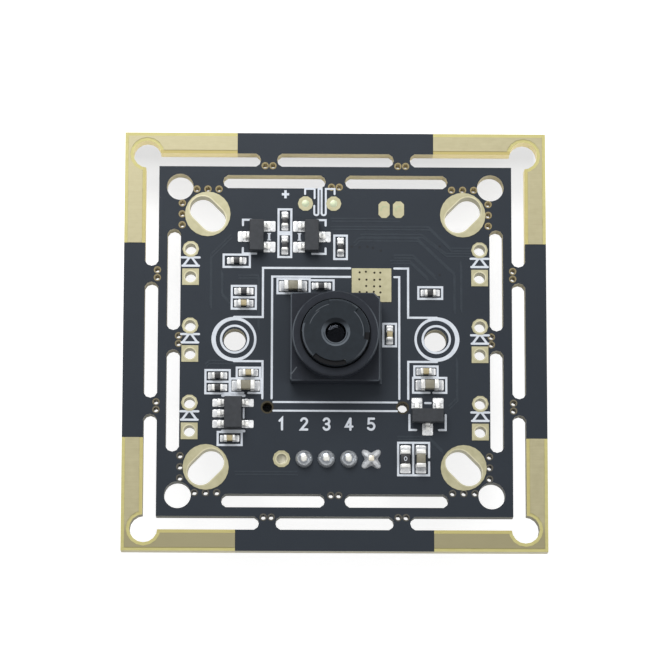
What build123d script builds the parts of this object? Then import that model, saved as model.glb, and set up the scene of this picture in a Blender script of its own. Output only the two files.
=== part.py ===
"""Camera module: a square circuit board with two snap-off rims, a fixed lens in a square holder over the
image sensor, small chip parts round it, and the controller and the cable header on the back.

+Z is the way the lens looks, and +Y is up in the picture that the camera takes. The origin is the centre of
the board's back face, which is the face that sits on the stand-offs. Sizes are in millimetres.
"""

import os
from math import atan2, copysign, cos, degrees, pi, radians, sin, sqrt

from build123d import *

os.makedirs("parts", exist_ok=True)

# Board: the rims snap off along the routed slots, and leave a smaller board each time
BOARD_SIDE = 38.0
BOARD_T = 1.6
LAYOUT_SIDE = 38.0  # the board that the places below were drawn on
LAYOUT_HOLDER_SIDE = 8.0  # the lens holder that they were drawn round
SLOT_W = 1.2
RIM_W = 1.9  # board edge to outer slots
WEB_W = 0.8  # outer slots to inner slots
OUTER_TAB_AT = 6.0  # bridges that hold the outer rim
OUTER_TAB_W = 1.5
INNER_TAB_W = 1.8
INNER_SLOT_TO_PERF = 0.15  # end of an inner slot to the first corner perforation
CORNER_HOLE_INSET = 2.0
CORNER_HOLE_R = 1.25
SCREW_INSET = 5.0
SCREW_HOLE_R = 1.2
SLOTTED_INSET = 7.5
SLOTTED_W = 2.4
SLOTTED_L = 3.7
SLOTTED_PAD_R = 2.05
PERF_R = 0.25  # drilled perforation that a bridge breaks along
PERF_PITCH = 0.7
CORNER_PERF_PITCH = 1.0
CORNER_PERF_INSET = 0.1  # past the inner board's edge

# The many small holes and pads have few sides, so that the model stays light
PERF_SIDES = 6
SMALL_SIDES = 10
SLOT_SIDES = 10
SLOTTED_SIDES = 18
PAD_SIDES = 16
SLOTTED_PAD_SIDES = 24

# Plating
GOLD_T = 0.05
COPPER_PULLBACK = 0.3
CORNER_STRIP_END = 8.85

# Holes in the board for parts that are soldered in
LED_COLUMN_GAP = 0.9  # inner slot to the column of lamp holes
LED_TO_SLOTTED = 3.23  # along the column, from the last lamp hole to the slotted screw hole
LED_LEAD_PITCH = 2.54
LED_HOLE_R = 0.55
LED_PAD_R = 0.75
LENS_SCREW_PITCH = 18.0
LENS_SCREW_R = 1.0
PEG_PITCH = 12.1
PEG_Y = -6.1
PEG_R = 0.45
MIC_AT = (-1.42, 12.5)
MIC_PITCH = 2.54
MIC_PAD_R = 0.69
LAMP_PADS_AT = (5.05, 11.97)
LAMP_PADS_PITCH = 1.3
LAMP_PAD = (1.0, 1.52)
LAMP_PAD_CORNER = 0.28
GROUND_PAD_X = 3.27
GROUND_PAD_W = 3.56
GROUND_PAD_END = 6.57
GROUND_PAD_GAP = 0.05  # lens holder to the part of the pad that shows
GROUND_PAD_LEG = 0.55  # how far the pad reaches down beside the lens holder

# Cable header on the back, with its five pins through the board
PIN_COUNT = 5
PIN_PITCH = 2.0
PIN_W = 0.5
PIN_HOLE_R = 0.5
PIN_PAD_R = 0.78
PIN_ROW_AT = (-0.75, -10.75)
PIN_STICK_OUT = 0.75
FREE_PIN_SUNK = 0.5  # the first pin isn't soldered, and ends inside its hole
JOINT_TOP_R = 0.4
JOINT_H = 0.62
SPOKE_W = 0.28
SPOKE_REACH = 1.12
SPOKE_H = 0.12
HEADER_END = 1.95  # last pin to the housing's end
HEADER_EDGE_SIDE = 2.8  # pin row to the housing's side that faces the board's edge
HEADER_INNER_SIDE = 1.7
HEADER_H = 6.0
HEADER_WALL = 0.65
HEADER_FLOOR = 1.3
HEADER_PIN_DEPTH = 1.2  # the pins stop this far inside the mouth
HEADER_NOTCH_W = 1.6
HEADER_NOTCH_H = 3.2
HEADER_NOTCH_AT = 3.0
HEADER_SIDE_SLOT_W = 0.9

# Lens holder, lens barrel and what they hold, with heights above the board's front face
HOLDER_SIDE = 8.0
HOLDER_BASE_H = 2.0
HOLDER_CORNER = 0.15
HOLDER_MARK = 0.55  # flat across the corner that marks the first contact
HOLDER_EDGE = 0.12
COLLAR_WALL = 0.81
COLLAR_TOP = 3.7
COLLAR_EDGE = 0.12
BARREL_R = 3.0
BARREL_FIT = 0.04
BORE_MOUTH_GAP = 0.16
BORE_MOUTH_DEPTH = 0.5
BARREL_TOP = 4.4
BARREL_L = 2.65
BARREL_EDGE = 0.18
CAVITY_WALL = 0.8
CAVITY_TOP = 1.05
FILTER_SIDE = 4.8
FILTER_T = 0.3
FILTER_FIT = 0.1
LIGHT_HOLE_R = 2.2
LEDGE_T = 0.3
NOTCH_ANGLES = (17.0, 133.0, 258.0)  # shallow places in the barrel's rim where a tool turns it
NOTCH_ARC = 62.0
NOTCH_W = 0.42
NOTCH_DEPTH = 0.16
EYE_R = 0.93
EYE_MOUTH_R = 1.28
EYE_MOUTH_DEPTH = 0.25
FACE_WALL = 0.55
LENS_FIT = 0.03
FRONT_LENS = (1.35, 0.88, 0.55, 0.14)  # radius, curved radius, rim, bulge of the curved front
MIDDLE_LENS = (1.75, 1.3, 0.45, -0.12)
REAR_LENS = (2.2, 1.4, 0.5, 0.16)
SPACER_T = 0.25
SPACER_W = 0.75
RETAINER_T = 0.25
RETAINER_W = 0.5
SENSOR_SIZE = (5.0, 4.4)
SENSOR_T = 0.45
COVER_GLASS_T = 0.4
COVER_GLASS_EDGE = 0.3

# Chip parts: length, width, height, length of an end cap
SMALL_RESISTOR = (1.0, 0.5, 0.35, 0.25)
SMALL_CAPACITOR = (1.0, 0.5, 0.5, 0.25)
LARGE_RESISTOR = (1.6, 0.8, 0.45, 0.35)
LARGE_CAPACITOR = (1.6, 0.8, 0.8, 0.38)
CHIP_GAP = 0.05  # solder under a chip part
CAP_PROUD = 0.02  # an end cap stands this far out of the chip's body
SMALL_FILLET = (0.36, 0.6)  # how far the solder reaches past the chip, and its width
LARGE_FILLET = (0.45, 0.92)
FILLET_CLIMB = 0.8  # share of the chip's height that the solder climbs

# Packages with leads: length along the lead rows, width, height
TRANSISTOR = (2.9, 1.3, 1.0)
REGULATOR = (2.9, 1.6, 1.1)
MEMORY = (4.9, 3.9, 1.5)
BODY_GAP = 0.12
DRAFT = 7.0
LEAD_T = 0.14
LEAD_W = 0.42
LEAD_PITCH = 0.95
LEAD_REACH = 0.6  # package side to lead tip
LEAD_FOOT = 0.34
MEMORY_LEAD_PITCH = 1.27
MEMORY_LEAD_REACH = 1.05
MEMORY_LEAD_FOOT = 0.6
LEAD_PAD_W = 0.95
REGULATOR_PAD_W = 0.7
MEMORY_PAD_W = 0.6
LEAD_FILLET = 0.44

# Controller, memory and crystal on the back
CONTROLLER_AT = (-4.5, -4.5, 0)
CONTROLLER_SIDE = 5.0
CONTROLLER_H = 0.85
CONTROLLER_LEADS = 8
CONTROLLER_LEAD_PITCH = 0.5
CONTROLLER_LEAD = (0.6, 0.25)
CONTROLLER_TOE = 0.2
MEMORY_AT = (4.6, 4.0, 0)
CRYSTAL_AT = (-9.7, -4.0, 90)
CRYSTAL_BASE = (3.2, 2.5, 0.5)
CRYSTAL_LID = (2.7, 2.0, 0.2)
CRYSTAL_PAD = (0.9, 0.8)

# Places on the board, each (x, y, turn of the part's long axis from +X)
RESISTORS = (
    (-4.54, 10.87, 90),
    (-4.54, 8.66, 90),
    (0.48, 8.49, 90),
    (-8.86, 7.21, 0),
    (-8.20, 4.42, 0),
    (-1.24, 4.92, 0),
    (8.55, 4.34, 0),
    (-10.50, -3.28, 0),
    (-10.50, -4.35, 0),
)
JUMPER = (6.30, -10.76, 90)
SMALL_CAPACITORS = (
    (-8.20, 3.32, 0),
    (4.90, 0.49, 90),
    (-7.75, -3.00, 0),
    (-9.38, -8.94, 0),
    (8.15, -2.84, 0),
)
LARGE_CAPACITORS = (
    (-3.78, 4.91, 0),
    (-7.97, -4.17, 0),
    (8.48, -4.06, 0),
    (7.68, -10.76, 90),
)
TRANSISTORS = ((-7.08, 9.43, 180), (-2.11, 9.43, 0), (8.28, -6.90, 270))  # turn of the side with one lead
REGULATOR_AT = (-9.10, -6.68, 0)
BACK_CAPACITORS = (
    (1.6, -1.8, 90),
    (1.6, -4.2, 90),
    (-5.8, 0.9, 0),
    (-3.4, 0.9, 0),
    (-1.0, 0.9, 0),
    (4.6, 8.0, 0),
    (-9.7, -6.6, 0),
)
BACK_RESISTORS = (
    (3.2, -4.2, 90),
    (-7.0, 4.8, 0),
    (-7.0, 6.0, 0),
)

# Worked out from the sizes above
HALF = BOARD_SIDE / 2
FACE = BOARD_T
OUTER_LINE = HALF - RIM_W - SLOT_W / 2
INNER_LINE = OUTER_LINE - SLOT_W - WEB_W
INNER_EDGE = INNER_LINE - SLOT_W / 2
CORNER_HOLE = HALF - CORNER_HOLE_INSET
SCREW = HALF - SCREW_INSET
SLOTTED = HALF - SLOTTED_INSET
INNER_SLOT_END = SLOTTED - CORNER_PERF_PITCH - PERF_R - INNER_SLOT_TO_PERF
LED_COLUMN = INNER_EDGE - LED_COLUMN_GAP
LED_GROUP_PITCH = SLOTTED - LED_TO_SLOTTED - LED_LEAD_PITCH / 2
CORNER_PERF_LINE = INNER_EDGE - CORNER_PERF_INSET
LENS_SCREW = LENS_SCREW_PITCH / 2
PEG = PEG_PITCH / 2
COLLAR_R = BARREL_R + BARREL_FIT + COLLAR_WALL


def fitted(drawn):
    """A coordinate of the layout, moved so that it keeps its place between the lens holder and the board's edge."""
    drawn_start = LAYOUT_HOLDER_SIDE / 2
    start = HOLDER_SIDE / 2
    if abs(drawn) <= drawn_start:
        return drawn * start / drawn_start
    spread = (HALF - start) / (LAYOUT_SIDE / 2 - drawn_start)
    return copysign(start + (abs(drawn) - drawn_start) * spread, drawn)


def spot(place, height=0.0, back=False):
    """The plane of a part at (x, y, turn), height above the board's front face, or below its back face."""
    x, y, turn = place
    along = (cos(radians(turn)), sin(radians(turn)), 0)
    if back:
        return Plane((fitted(x), fitted(y), -height), x_dir=along, z_dir=(0, 0, -1))
    return Plane((fitted(x), fitted(y), FACE + height), x_dir=along, z_dir=(0, 0, 1))


def upright(base, side, across=0.0):
    """A plane that stands on a part's own plane: x points out to one side of it and y away from the board."""
    outward = base.x_dir * side
    origin = base.from_local_coords((0, across, 0))
    return Plane(origin, x_dir=outward, z_dir=outward.cross(base.z_dir))


def save(part, name):
    """Labels a finished piece and writes it to its own file."""
    part.label = name
    export_step(part, f"parts/{name}.step")


def pin_spots():
    """Centres of the header's pins, from the free one at the left."""
    x, y = PIN_ROW_AT
    first = fitted(x) - (PIN_COUNT - 1) * PIN_PITCH / 2
    return [(first + i * PIN_PITCH, fitted(y)) for i in range(PIN_COUNT)]


def led_spots(end):
    """Centres of the lamp holes at one end of each pair: end 1 is the round pads, -1 the square ones."""
    rows = (LED_GROUP_PITCH, 0, -LED_GROUP_PITCH)
    return [(side * LED_COLUMN, row + end * LED_LEAD_PITCH / 2) for side in (-1, 1) for row in rows]


def corner_perforations():
    """The six small holes beside one screw hole, three on each side of it."""
    row = [SLOTTED + i * CORNER_PERF_PITCH for i in (-1, 0, 1)]
    return [(p, CORNER_PERF_LINE) for p in row] + [(CORNER_PERF_LINE, p) for p in row]


def cut_slot(length, width, sides):
    """Cuts a slot along X at the sketch's present places, with ends of half a polygon of that many sides."""
    run = (length - width) / 2
    Rectangle(2 * run, width, mode=Mode.SUBTRACT)
    with Locations((-run, 0), (run, 0)):
        RegularPolygon(width / 2, sides, major_radius=False, mode=Mode.SUBTRACT)


def cut_slot_between(x0, x1, y):
    """Cuts a routed slot along X between two end points."""
    with Locations(((x0 + x1) / 2, y)):
        cut_slot(abs(x1 - x0), SLOT_W, SLOT_SIDES)


# Circuit board: one routed and drilled sheet, the same on each of its four sides but for the parts' holes
with BuildPart() as circuit_board:
    with BuildSketch():
        Rectangle(BOARD_SIDE, BOARD_SIDE)
        with PolarLocations(0, 4):
            mid_slot_end = OUTER_TAB_AT - OUTER_TAB_W / 2
            cut_slot_between(-mid_slot_end, mid_slot_end, OUTER_LINE)
            arm_start = OUTER_TAB_AT + OUTER_TAB_W / 2
            arm_end = OUTER_LINE + SLOT_W / 2
            for side in (-1, 1):
                cut_slot_between(side * arm_start, side * arm_end, OUTER_LINE)
                cut_slot_between(side * INNER_TAB_W / 2, side * INNER_SLOT_END, INNER_LINE)
            with Locations((CORNER_HOLE, CORNER_HOLE)):
                RegularPolygon(CORNER_HOLE_R, PAD_SIDES, mode=Mode.SUBTRACT)
            with Locations((SCREW, SCREW)):
                Circle(SCREW_HOLE_R, mode=Mode.SUBTRACT)
            with Locations(Location((SLOTTED, SLOTTED), 45)):
                cut_slot(SLOTTED_L, SLOTTED_W, SLOTTED_SIDES)
            tab_edge = OUTER_LINE - SLOT_W / 2 + PERF_R / 3
            for tab in (-OUTER_TAB_AT, OUTER_TAB_AT):
                with Locations((tab - PERF_PITCH / 2, tab_edge), (tab + PERF_PITCH / 2, tab_edge)):
                    RegularPolygon(PERF_R, PERF_SIDES, mode=Mode.SUBTRACT)
            mid_edge = INNER_EDGE + PERF_R / 2
            with Locations((-PERF_PITCH / 2, mid_edge), (PERF_PITCH / 2, mid_edge)):
                RegularPolygon(PERF_R, PERF_SIDES, mode=Mode.SUBTRACT)
            with Locations(*corner_perforations()):
                RegularPolygon(PERF_R, PERF_SIDES, mode=Mode.SUBTRACT)
        with Locations(*led_spots(1), *led_spots(-1)):
            RegularPolygon(LED_HOLE_R, SMALL_SIDES, mode=Mode.SUBTRACT)
        with Locations((-LENS_SCREW, 0), (LENS_SCREW, 0)):
            Circle(LENS_SCREW_R, mode=Mode.SUBTRACT)
        with Locations((-PEG, PEG_Y), (PEG, PEG_Y)):
            RegularPolygon(PEG_R, SMALL_SIDES, mode=Mode.SUBTRACT)
        with Locations(*pin_spots()):
            RegularPolygon(PIN_HOLE_R, SMALL_SIDES, mode=Mode.SUBTRACT)
    extrude(amount=BOARD_T)
save(circuit_board.part, "circuit_board")

# Bare copper in the four corners, between the board's edge and the outer slots
with BuildPart() as corner_copper:
    with BuildSketch(Plane.XY.offset(FACE)):
        inner = OUTER_LINE + SLOT_W / 2 + COPPER_PULLBACK
        outer = HALF - COPPER_PULLBACK
        with BuildLine():
            Polyline(
                (CORNER_STRIP_END, inner),
                (inner, inner),
                (inner, CORNER_STRIP_END),
                (outer, CORNER_STRIP_END),
                (outer, outer),
                (CORNER_STRIP_END, outer),
                close=True,
            )
        make_face()
        with Locations((CORNER_HOLE, CORNER_HOLE)):
            RegularPolygon(CORNER_HOLE_R + COPPER_PULLBACK, PAD_SIDES, mode=Mode.SUBTRACT)
    strip = extrude(amount=GOLD_T)
    mirror(strip, about=Plane.YZ)
    mirror(about=Plane.XZ)
save(corner_copper.part, "corner_copper")

# Gold rings round the four slotted screw holes
with BuildPart() as mounting_pads:
    with BuildSketch(Plane.XY.offset(FACE)):
        with PolarLocations(0, 4):
            with Locations((SLOTTED, SLOTTED)):
                RegularPolygon(SLOTTED_PAD_R, SLOTTED_PAD_SIDES)
            with Locations(Location((SLOTTED, SLOTTED), 45)):
                cut_slot(SLOTTED_L, SLOTTED_W, SLOTTED_SIDES)
    extrude(amount=GOLD_T)
save(mounting_pads.part, "mounting_pads")

# Pads of the lamp holes: a round one and a square one to each lamp
with BuildPart() as led_pads:
    with BuildSketch(Plane.XY.offset(FACE)):
        with Locations(*led_spots(1)):
            RegularPolygon(LED_PAD_R, SMALL_SIDES)
        with Locations(*led_spots(-1)):
            Rectangle(2 * LED_PAD_R, 2 * LED_PAD_R)
        with Locations(*led_spots(1), *led_spots(-1)):
            RegularPolygon(LED_HOLE_R, SMALL_SIDES, mode=Mode.SUBTRACT)
    extrude(amount=GOLD_T)
save(led_pads.part, "led_pads")

# Pad round the header's first pin: solder hides the others
with BuildPart() as free_pin_pad:
    with BuildSketch(Plane.XY.offset(FACE)):
        with Locations(pin_spots()[0]):
            RegularPolygon(PIN_PAD_R, SMALL_SIDES)
            RegularPolygon(PIN_HOLE_R, SMALL_SIDES, mode=Mode.SUBTRACT)
    extrude(amount=GOLD_T)
save(free_pin_pad.part, "free_pin_pad")

# Round pads where a microphone can be soldered
mic_x, mic_y = (fitted(drawn) for drawn in MIC_AT)
with BuildPart() as microphone_pads:
    with BuildSketch(Plane.XY.offset(FACE)):
        with Locations((mic_x - MIC_PITCH / 2, mic_y), (mic_x + MIC_PITCH / 2, mic_y)):
            RegularPolygon(MIC_PAD_R, SMALL_SIDES)
    extrude(amount=GOLD_T)
save(microphone_pads.part, "microphone_pads")

# Oval pads where the lamps' own supply can be soldered
lamp_x, lamp_y = (fitted(drawn) for drawn in LAMP_PADS_AT)
with BuildPart() as lamp_supply_pads:
    with BuildSketch(Plane.XY.offset(FACE)):
        with Locations((lamp_x - LAMP_PADS_PITCH / 2, lamp_y), (lamp_x + LAMP_PADS_PITCH / 2, lamp_y)):
            Rectangle(*LAMP_PAD)
        chamfer(vertices(), LAMP_PAD_CORNER)
    extrude(amount=GOLD_T)
save(lamp_supply_pads.part, "lamp_supply_pads")

# Heat-spreading pad at the lens holder's edge
with BuildPart() as ground_pad:
    pad_start = HOLDER_SIDE / 2 + GROUND_PAD_GAP
    with BuildSketch(Plane.XY.offset(FACE)):
        with Locations((fitted(GROUND_PAD_X), (pad_start + GROUND_PAD_END) / 2)):
            Rectangle(GROUND_PAD_W, GROUND_PAD_END - pad_start)
        pad_right = fitted(GROUND_PAD_X) + GROUND_PAD_W / 2
        with Locations(((pad_start + pad_right) / 2, pad_start - GROUND_PAD_LEG / 2)):
            Rectangle(pad_right - pad_start, GROUND_PAD_LEG)
    extrude(amount=GOLD_T)
save(ground_pad.part, "ground_pad")


def chip_body(place, size, back=False):
    """The ceramic of one chip part, between its end caps."""
    length, width, height, cap = size
    with BuildSketch(spot(place, CHIP_GAP + CAP_PROUD, back)) as outline:
        Rectangle(length - 2 * cap, width)
    extrude(outline.sketch, amount=height)


def chip_caps(place, size, back=False):
    """The two metal end caps of one chip part."""
    length, width, height, cap = size
    with BuildSketch(spot(place, CHIP_GAP, back)) as outline:
        for side in (-1, 1):
            with Locations((side * (length - cap) / 2, 0)):
                Rectangle(cap, width + 2 * CAP_PROUD)
    extrude(outline.sketch, amount=height + 2 * CAP_PROUD)


def chip_solder(place, size, fillet_size, back=False):
    """The solder under the two end caps of one chip part, and its slope up each end."""
    length, width, height, cap = size
    reach, spread = fillet_size
    end = length / 2
    for side in (-1, 1):
        with BuildSketch(upright(spot(place, 0, back), side)) as section:
            with BuildLine():
                Polyline(
                    (end - cap, 0),
                    (end + reach, 0),
                    (end, CHIP_GAP + height * FILLET_CLIMB),
                    (end, CHIP_GAP),
                    (end - cap, CHIP_GAP),
                    close=True,
                )
            make_face()
        extrude(section.sketch, amount=spread / 2, both=True)


def moulded_body(place, size, back=False):
    """A moulded package: a straight band where the leads come out, and sloping sides above and below it."""
    length, width, height = size
    band = BODY_GAP + (height - LEAD_T) / 2
    with BuildSketch(spot(place, band, back)) as lower:
        Rectangle(width, length)
    with BuildSketch(spot(place, band + LEAD_T, back)) as upper:
        Rectangle(width, length)
    extrude(lower.sketch, amount=LEAD_T)
    extrude(upper.sketch, amount=BODY_GAP + height - band - LEAD_T, taper=DRAFT)
    extrude(lower.sketch, amount=BODY_GAP - band, taper=DRAFT)


def lead(place, size, side, across, reach, foot, width, back=False):
    """One bent lead, from the side of its package down to its foot on the solder."""
    start = size[1] / 2
    high = BODY_GAP + size[2] / 2
    knee = (reach - foot) / 2
    with BuildSketch(upright(spot(place, 0, back), side, across)) as section:
        with BuildLine():
            Polyline(
                (start, high + LEAD_T / 2),
                (start + knee + LEAD_T / 2, high + LEAD_T / 2),
                (start + reach - foot + LEAD_T / 2, CHIP_GAP + LEAD_T),
                (start + reach, CHIP_GAP + LEAD_T),
                (start + reach, CHIP_GAP),
                (start + reach - foot - LEAD_T / 4, CHIP_GAP),
                (start + knee - LEAD_T / 4, high - LEAD_T / 2),
                (start, high - LEAD_T / 2),
                close=True,
            )
        make_face()
    extrude(section.sketch, amount=width / 2, both=True)


def lead_solder(place, size, side, across, reach, foot, width, back=False):
    """The solder under one lead's foot, and its slope up the lead's tip."""
    tip = size[1] / 2 + reach
    with BuildSketch(upright(spot(place, 0, back), side, across)) as section:
        with BuildLine():
            Polyline(
                (tip - foot, 0),
                (tip + LEAD_FILLET, 0),
                (tip, CHIP_GAP + LEAD_T),
                (tip, CHIP_GAP),
                (tip - foot, CHIP_GAP),
                close=True,
            )
        make_face()
    extrude(section.sketch, amount=width / 2, both=True)


# Each lead is a side of its package (1 or -1) and a place along that side
TRANSISTOR_LEADS = ((1, 0), (-1, LEAD_PITCH), (-1, -LEAD_PITCH))
REGULATOR_LEADS = ((-1, LEAD_PITCH), (-1, 0), (-1, -LEAD_PITCH), (1, LEAD_PITCH), (1, -LEAD_PITCH))
MEMORY_LEADS = tuple((side, (i - 1.5) * MEMORY_LEAD_PITCH) for side in (-1, 1) for i in range(4))

# Chip parts on the front
small_sets = ((RESISTORS, SMALL_RESISTOR), (SMALL_CAPACITORS, SMALL_CAPACITOR))
large_sets = (((JUMPER,), LARGE_RESISTOR), (LARGE_CAPACITORS, LARGE_CAPACITOR))

for number, place in enumerate(RESISTORS, start=1):
    with BuildPart() as resistor:
        chip_body(place, SMALL_RESISTOR)
    save(resistor.part, f"resistor_{number}")

with BuildPart() as zero_ohm_link:
    chip_body(JUMPER, LARGE_RESISTOR)
save(zero_ohm_link.part, "zero_ohm_link")

front_capacitors = [(place, SMALL_CAPACITOR) for place in SMALL_CAPACITORS]
front_capacitors += [(place, LARGE_CAPACITOR) for place in LARGE_CAPACITORS]
for number, (place, size) in enumerate(front_capacitors, start=1):
    with BuildPart() as capacitor:
        chip_body(place, size)
    save(capacitor.part, f"capacitor_{number}")

with BuildPart() as chip_terminals:
    for places, size in small_sets + large_sets:
        for place in places:
            chip_caps(place, size)
save(chip_terminals.part, "chip_terminals")

# Transistors and regulator on the front
for number, place in enumerate(TRANSISTORS, start=1):
    with BuildPart() as transistor:
        moulded_body(place, TRANSISTOR)
    save(transistor.part, f"transistor_{number}")

with BuildPart() as regulator:
    moulded_body(REGULATOR_AT, REGULATOR)
save(regulator.part, "regulator")

with BuildPart() as transistor_leads:
    for place in TRANSISTORS:
        for side, across in TRANSISTOR_LEADS:
            lead(place, TRANSISTOR, side, across, LEAD_REACH, LEAD_FOOT, LEAD_W)
save(transistor_leads.part, "transistor_leads")

with BuildPart() as regulator_leads:
    for side, across in REGULATOR_LEADS:
        lead(REGULATOR_AT, REGULATOR, side, across, LEAD_REACH, LEAD_FOOT, LEAD_W)
save(regulator_leads.part, "regulator_leads")

# Image sensor under the lens, with its cover glass
lens_centre = (0, 0, 0)
with BuildPart() as image_sensor:
    with BuildSketch(spot(lens_centre, CHIP_GAP)):
        Rectangle(*SENSOR_SIZE)
    extrude(amount=SENSOR_T)
save(image_sensor.part, "image_sensor")

with BuildPart() as sensor_glass:
    with BuildSketch(spot(lens_centre, CHIP_GAP + SENSOR_T)):
        Rectangle(SENSOR_SIZE[0] - 2 * COVER_GLASS_EDGE, SENSOR_SIZE[1] - 2 * COVER_GLASS_EDGE)
    extrude(amount=COVER_GLASS_T)
save(sensor_glass.part, "sensor_glass")

# Solder of everything on the front
with BuildPart() as solder_joints:
    for places, size in small_sets:
        for place in places:
            chip_solder(place, size, SMALL_FILLET)
    for places, size in large_sets:
        for place in places:
            chip_solder(place, size, LARGE_FILLET)
    for place in TRANSISTORS:
        for side, across in TRANSISTOR_LEADS:
            lead_solder(place, TRANSISTOR, side, across, LEAD_REACH, LEAD_FOOT, LEAD_PAD_W)
    for side, across in REGULATOR_LEADS:
        lead_solder(REGULATOR_AT, REGULATOR, side, across, LEAD_REACH, LEAD_FOOT, REGULATOR_PAD_W)
    with BuildSketch(spot(lens_centre)):
        Rectangle(*SENSOR_SIZE)
    extrude(amount=CHIP_GAP)
save(solder_joints.part, "solder_joints")

# Lens holder: a square box over the sensor, with a round collar that the lens barrel stands in
ledge_top = CAVITY_TOP + FILTER_T + LEDGE_T
with BuildPart() as lens_holder:
    with BuildSketch(spot(lens_centre)):
        Rectangle(HOLDER_SIDE, HOLDER_SIDE)
        chamfer(vertices().sort_by(Axis.X)[-2:].sort_by(Axis.Y)[-1], HOLDER_MARK)
        plain_corners = vertices().sort_by(Axis.Y)[:2] + vertices().sort_by(Axis.X)[:2].sort_by(Axis.Y)[-1:]
        chamfer(plain_corners, HOLDER_CORNER)
    extrude(amount=HOLDER_BASE_H)
    chamfer(faces().sort_by(Axis.Z)[-1].edges(), HOLDER_EDGE)
    with BuildSketch(spot(lens_centre, HOLDER_BASE_H)):
        Circle(COLLAR_R)
    extrude(amount=COLLAR_TOP - HOLDER_BASE_H)
    chamfer(faces().sort_by(Axis.Z)[-1].edges(), COLLAR_EDGE)
    with BuildSketch(spot(lens_centre)):
        Rectangle(HOLDER_SIDE - 2 * CAVITY_WALL, HOLDER_SIDE - 2 * CAVITY_WALL)
    extrude(amount=CAVITY_TOP, mode=Mode.SUBTRACT)
    with BuildSketch(spot(lens_centre, CAVITY_TOP)):
        Rectangle(FILTER_SIDE + 2 * FILTER_FIT, FILTER_SIDE + 2 * FILTER_FIT)
    extrude(amount=FILTER_T, mode=Mode.SUBTRACT)
    with BuildSketch(spot(lens_centre, CAVITY_TOP + FILTER_T)):
        Circle(LIGHT_HOLE_R)
    extrude(amount=LEDGE_T, mode=Mode.SUBTRACT)
    with BuildSketch(spot(lens_centre, ledge_top)):
        Circle(BARREL_R + BARREL_FIT)
    extrude(amount=COLLAR_TOP - ledge_top, mode=Mode.SUBTRACT)
    with BuildSketch(spot(lens_centre, COLLAR_TOP - BORE_MOUTH_DEPTH)):
        Circle(BARREL_R + BORE_MOUTH_GAP)
    extrude(amount=BORE_MOUTH_DEPTH, mode=Mode.SUBTRACT)
save(lens_holder.part, "lens_holder")

with BuildPart() as infrared_filter:
    with BuildSketch(spot(lens_centre, CAVITY_TOP)):
        Rectangle(FILTER_SIDE, FILTER_SIDE)
    extrude(amount=FILTER_T)
save(infrared_filter.part, "infrared_filter")

# Heights of what is stacked in the barrel, from its front wall to the ring that locks it
front_seat = BARREL_TOP - FACE_WALL
middle_seat = front_seat - FRONT_LENS[2]
spacer_seat = middle_seat - MIDDLE_LENS[2]
rear_seat = spacer_seat - SPACER_T
retainer_seat = rear_seat - REAR_LENS[2]
barrel_end = BARREL_TOP - BARREL_L
side_view = Plane(spot(lens_centre).origin, x_dir=(1, 0, 0), z_dir=(0, -1, 0))

# Lens barrel: turned in one piece, with bores that step out towards the back
with BuildPart() as lens_barrel:
    with BuildSketch(side_view):
        with BuildLine():
            Polyline(
                (EYE_R, front_seat),
                (EYE_R, BARREL_TOP - EYE_MOUTH_DEPTH),
                (EYE_MOUTH_R, BARREL_TOP),
                (BARREL_R - BARREL_EDGE, BARREL_TOP),
                (BARREL_R, BARREL_TOP - BARREL_EDGE),
                (BARREL_R, barrel_end),
                (REAR_LENS[0] + LENS_FIT, barrel_end),
                (REAR_LENS[0] + LENS_FIT, spacer_seat),
                (MIDDLE_LENS[0] + LENS_FIT, spacer_seat),
                (MIDDLE_LENS[0] + LENS_FIT, middle_seat),
                (FRONT_LENS[0] + LENS_FIT, middle_seat),
                (FRONT_LENS[0] + LENS_FIT, front_seat),
                close=True,
            )
        make_face()
    revolve(axis=Axis(side_view.origin, (0, 0, 1)))
    with BuildSketch(spot(lens_centre, BARREL_TOP)):
        for angle in NOTCH_ANGLES:
            start = angle - NOTCH_ARC / 2
            with BuildLine():
                outer_arc = CenterArc((0, 0), BARREL_R + NOTCH_W, start, NOTCH_ARC)
                inner_arc = CenterArc((0, 0), BARREL_R - NOTCH_W, start, NOTCH_ARC)
                Line(outer_arc @ 0, inner_arc @ 0)
                Line(outer_arc @ 1, inner_arc @ 1)
            make_face()
    extrude(amount=-NOTCH_DEPTH, mode=Mode.SUBTRACT)
save(lens_barrel.part, "lens_barrel")


def lens(shape, top):
    """One lens with a curved front inside a flat rim, hung below the height of its front seat."""
    radius, curved, rim, bulge = shape
    sphere = (curved**2 + bulge**2) / (2 * abs(bulge))
    fall = sphere - sqrt(sphere**2 - (curved / 2) ** 2)
    half_way = bulge - fall if bulge > 0 else bulge + fall
    with BuildSketch(side_view) as section:
        with BuildLine():
            ThreePointArc((0, top + bulge), (curved / 2, top + half_way), (curved, top))
            Polyline((curved, top), (radius, top), (radius, top - rim), (0, top - rim), (0, top + bulge))
        make_face()
    revolve(section.sketch, axis=Axis(side_view.origin, (0, 0, 1)))


def ring(outer, inner, thickness, top):
    """A flat ring in the barrel, hung below the height of its front seat."""
    with BuildSketch(spot(lens_centre, top - thickness)) as outline:
        RegularPolygon(outer, PAD_SIDES)
        RegularPolygon(inner, PAD_SIDES, mode=Mode.SUBTRACT)
    extrude(outline.sketch, amount=thickness)


with BuildPart() as front_lens:
    lens(FRONT_LENS, front_seat)
save(front_lens.part, "front_lens")

with BuildPart() as middle_lens:
    lens(MIDDLE_LENS, middle_seat)
save(middle_lens.part, "middle_lens")

with BuildPart() as lens_spacer:
    ring(REAR_LENS[0], REAR_LENS[0] - SPACER_W, SPACER_T, spacer_seat)
save(lens_spacer.part, "lens_spacer")

with BuildPart() as rear_lens:
    lens(REAR_LENS, rear_seat)
save(rear_lens.part, "rear_lens")

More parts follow.
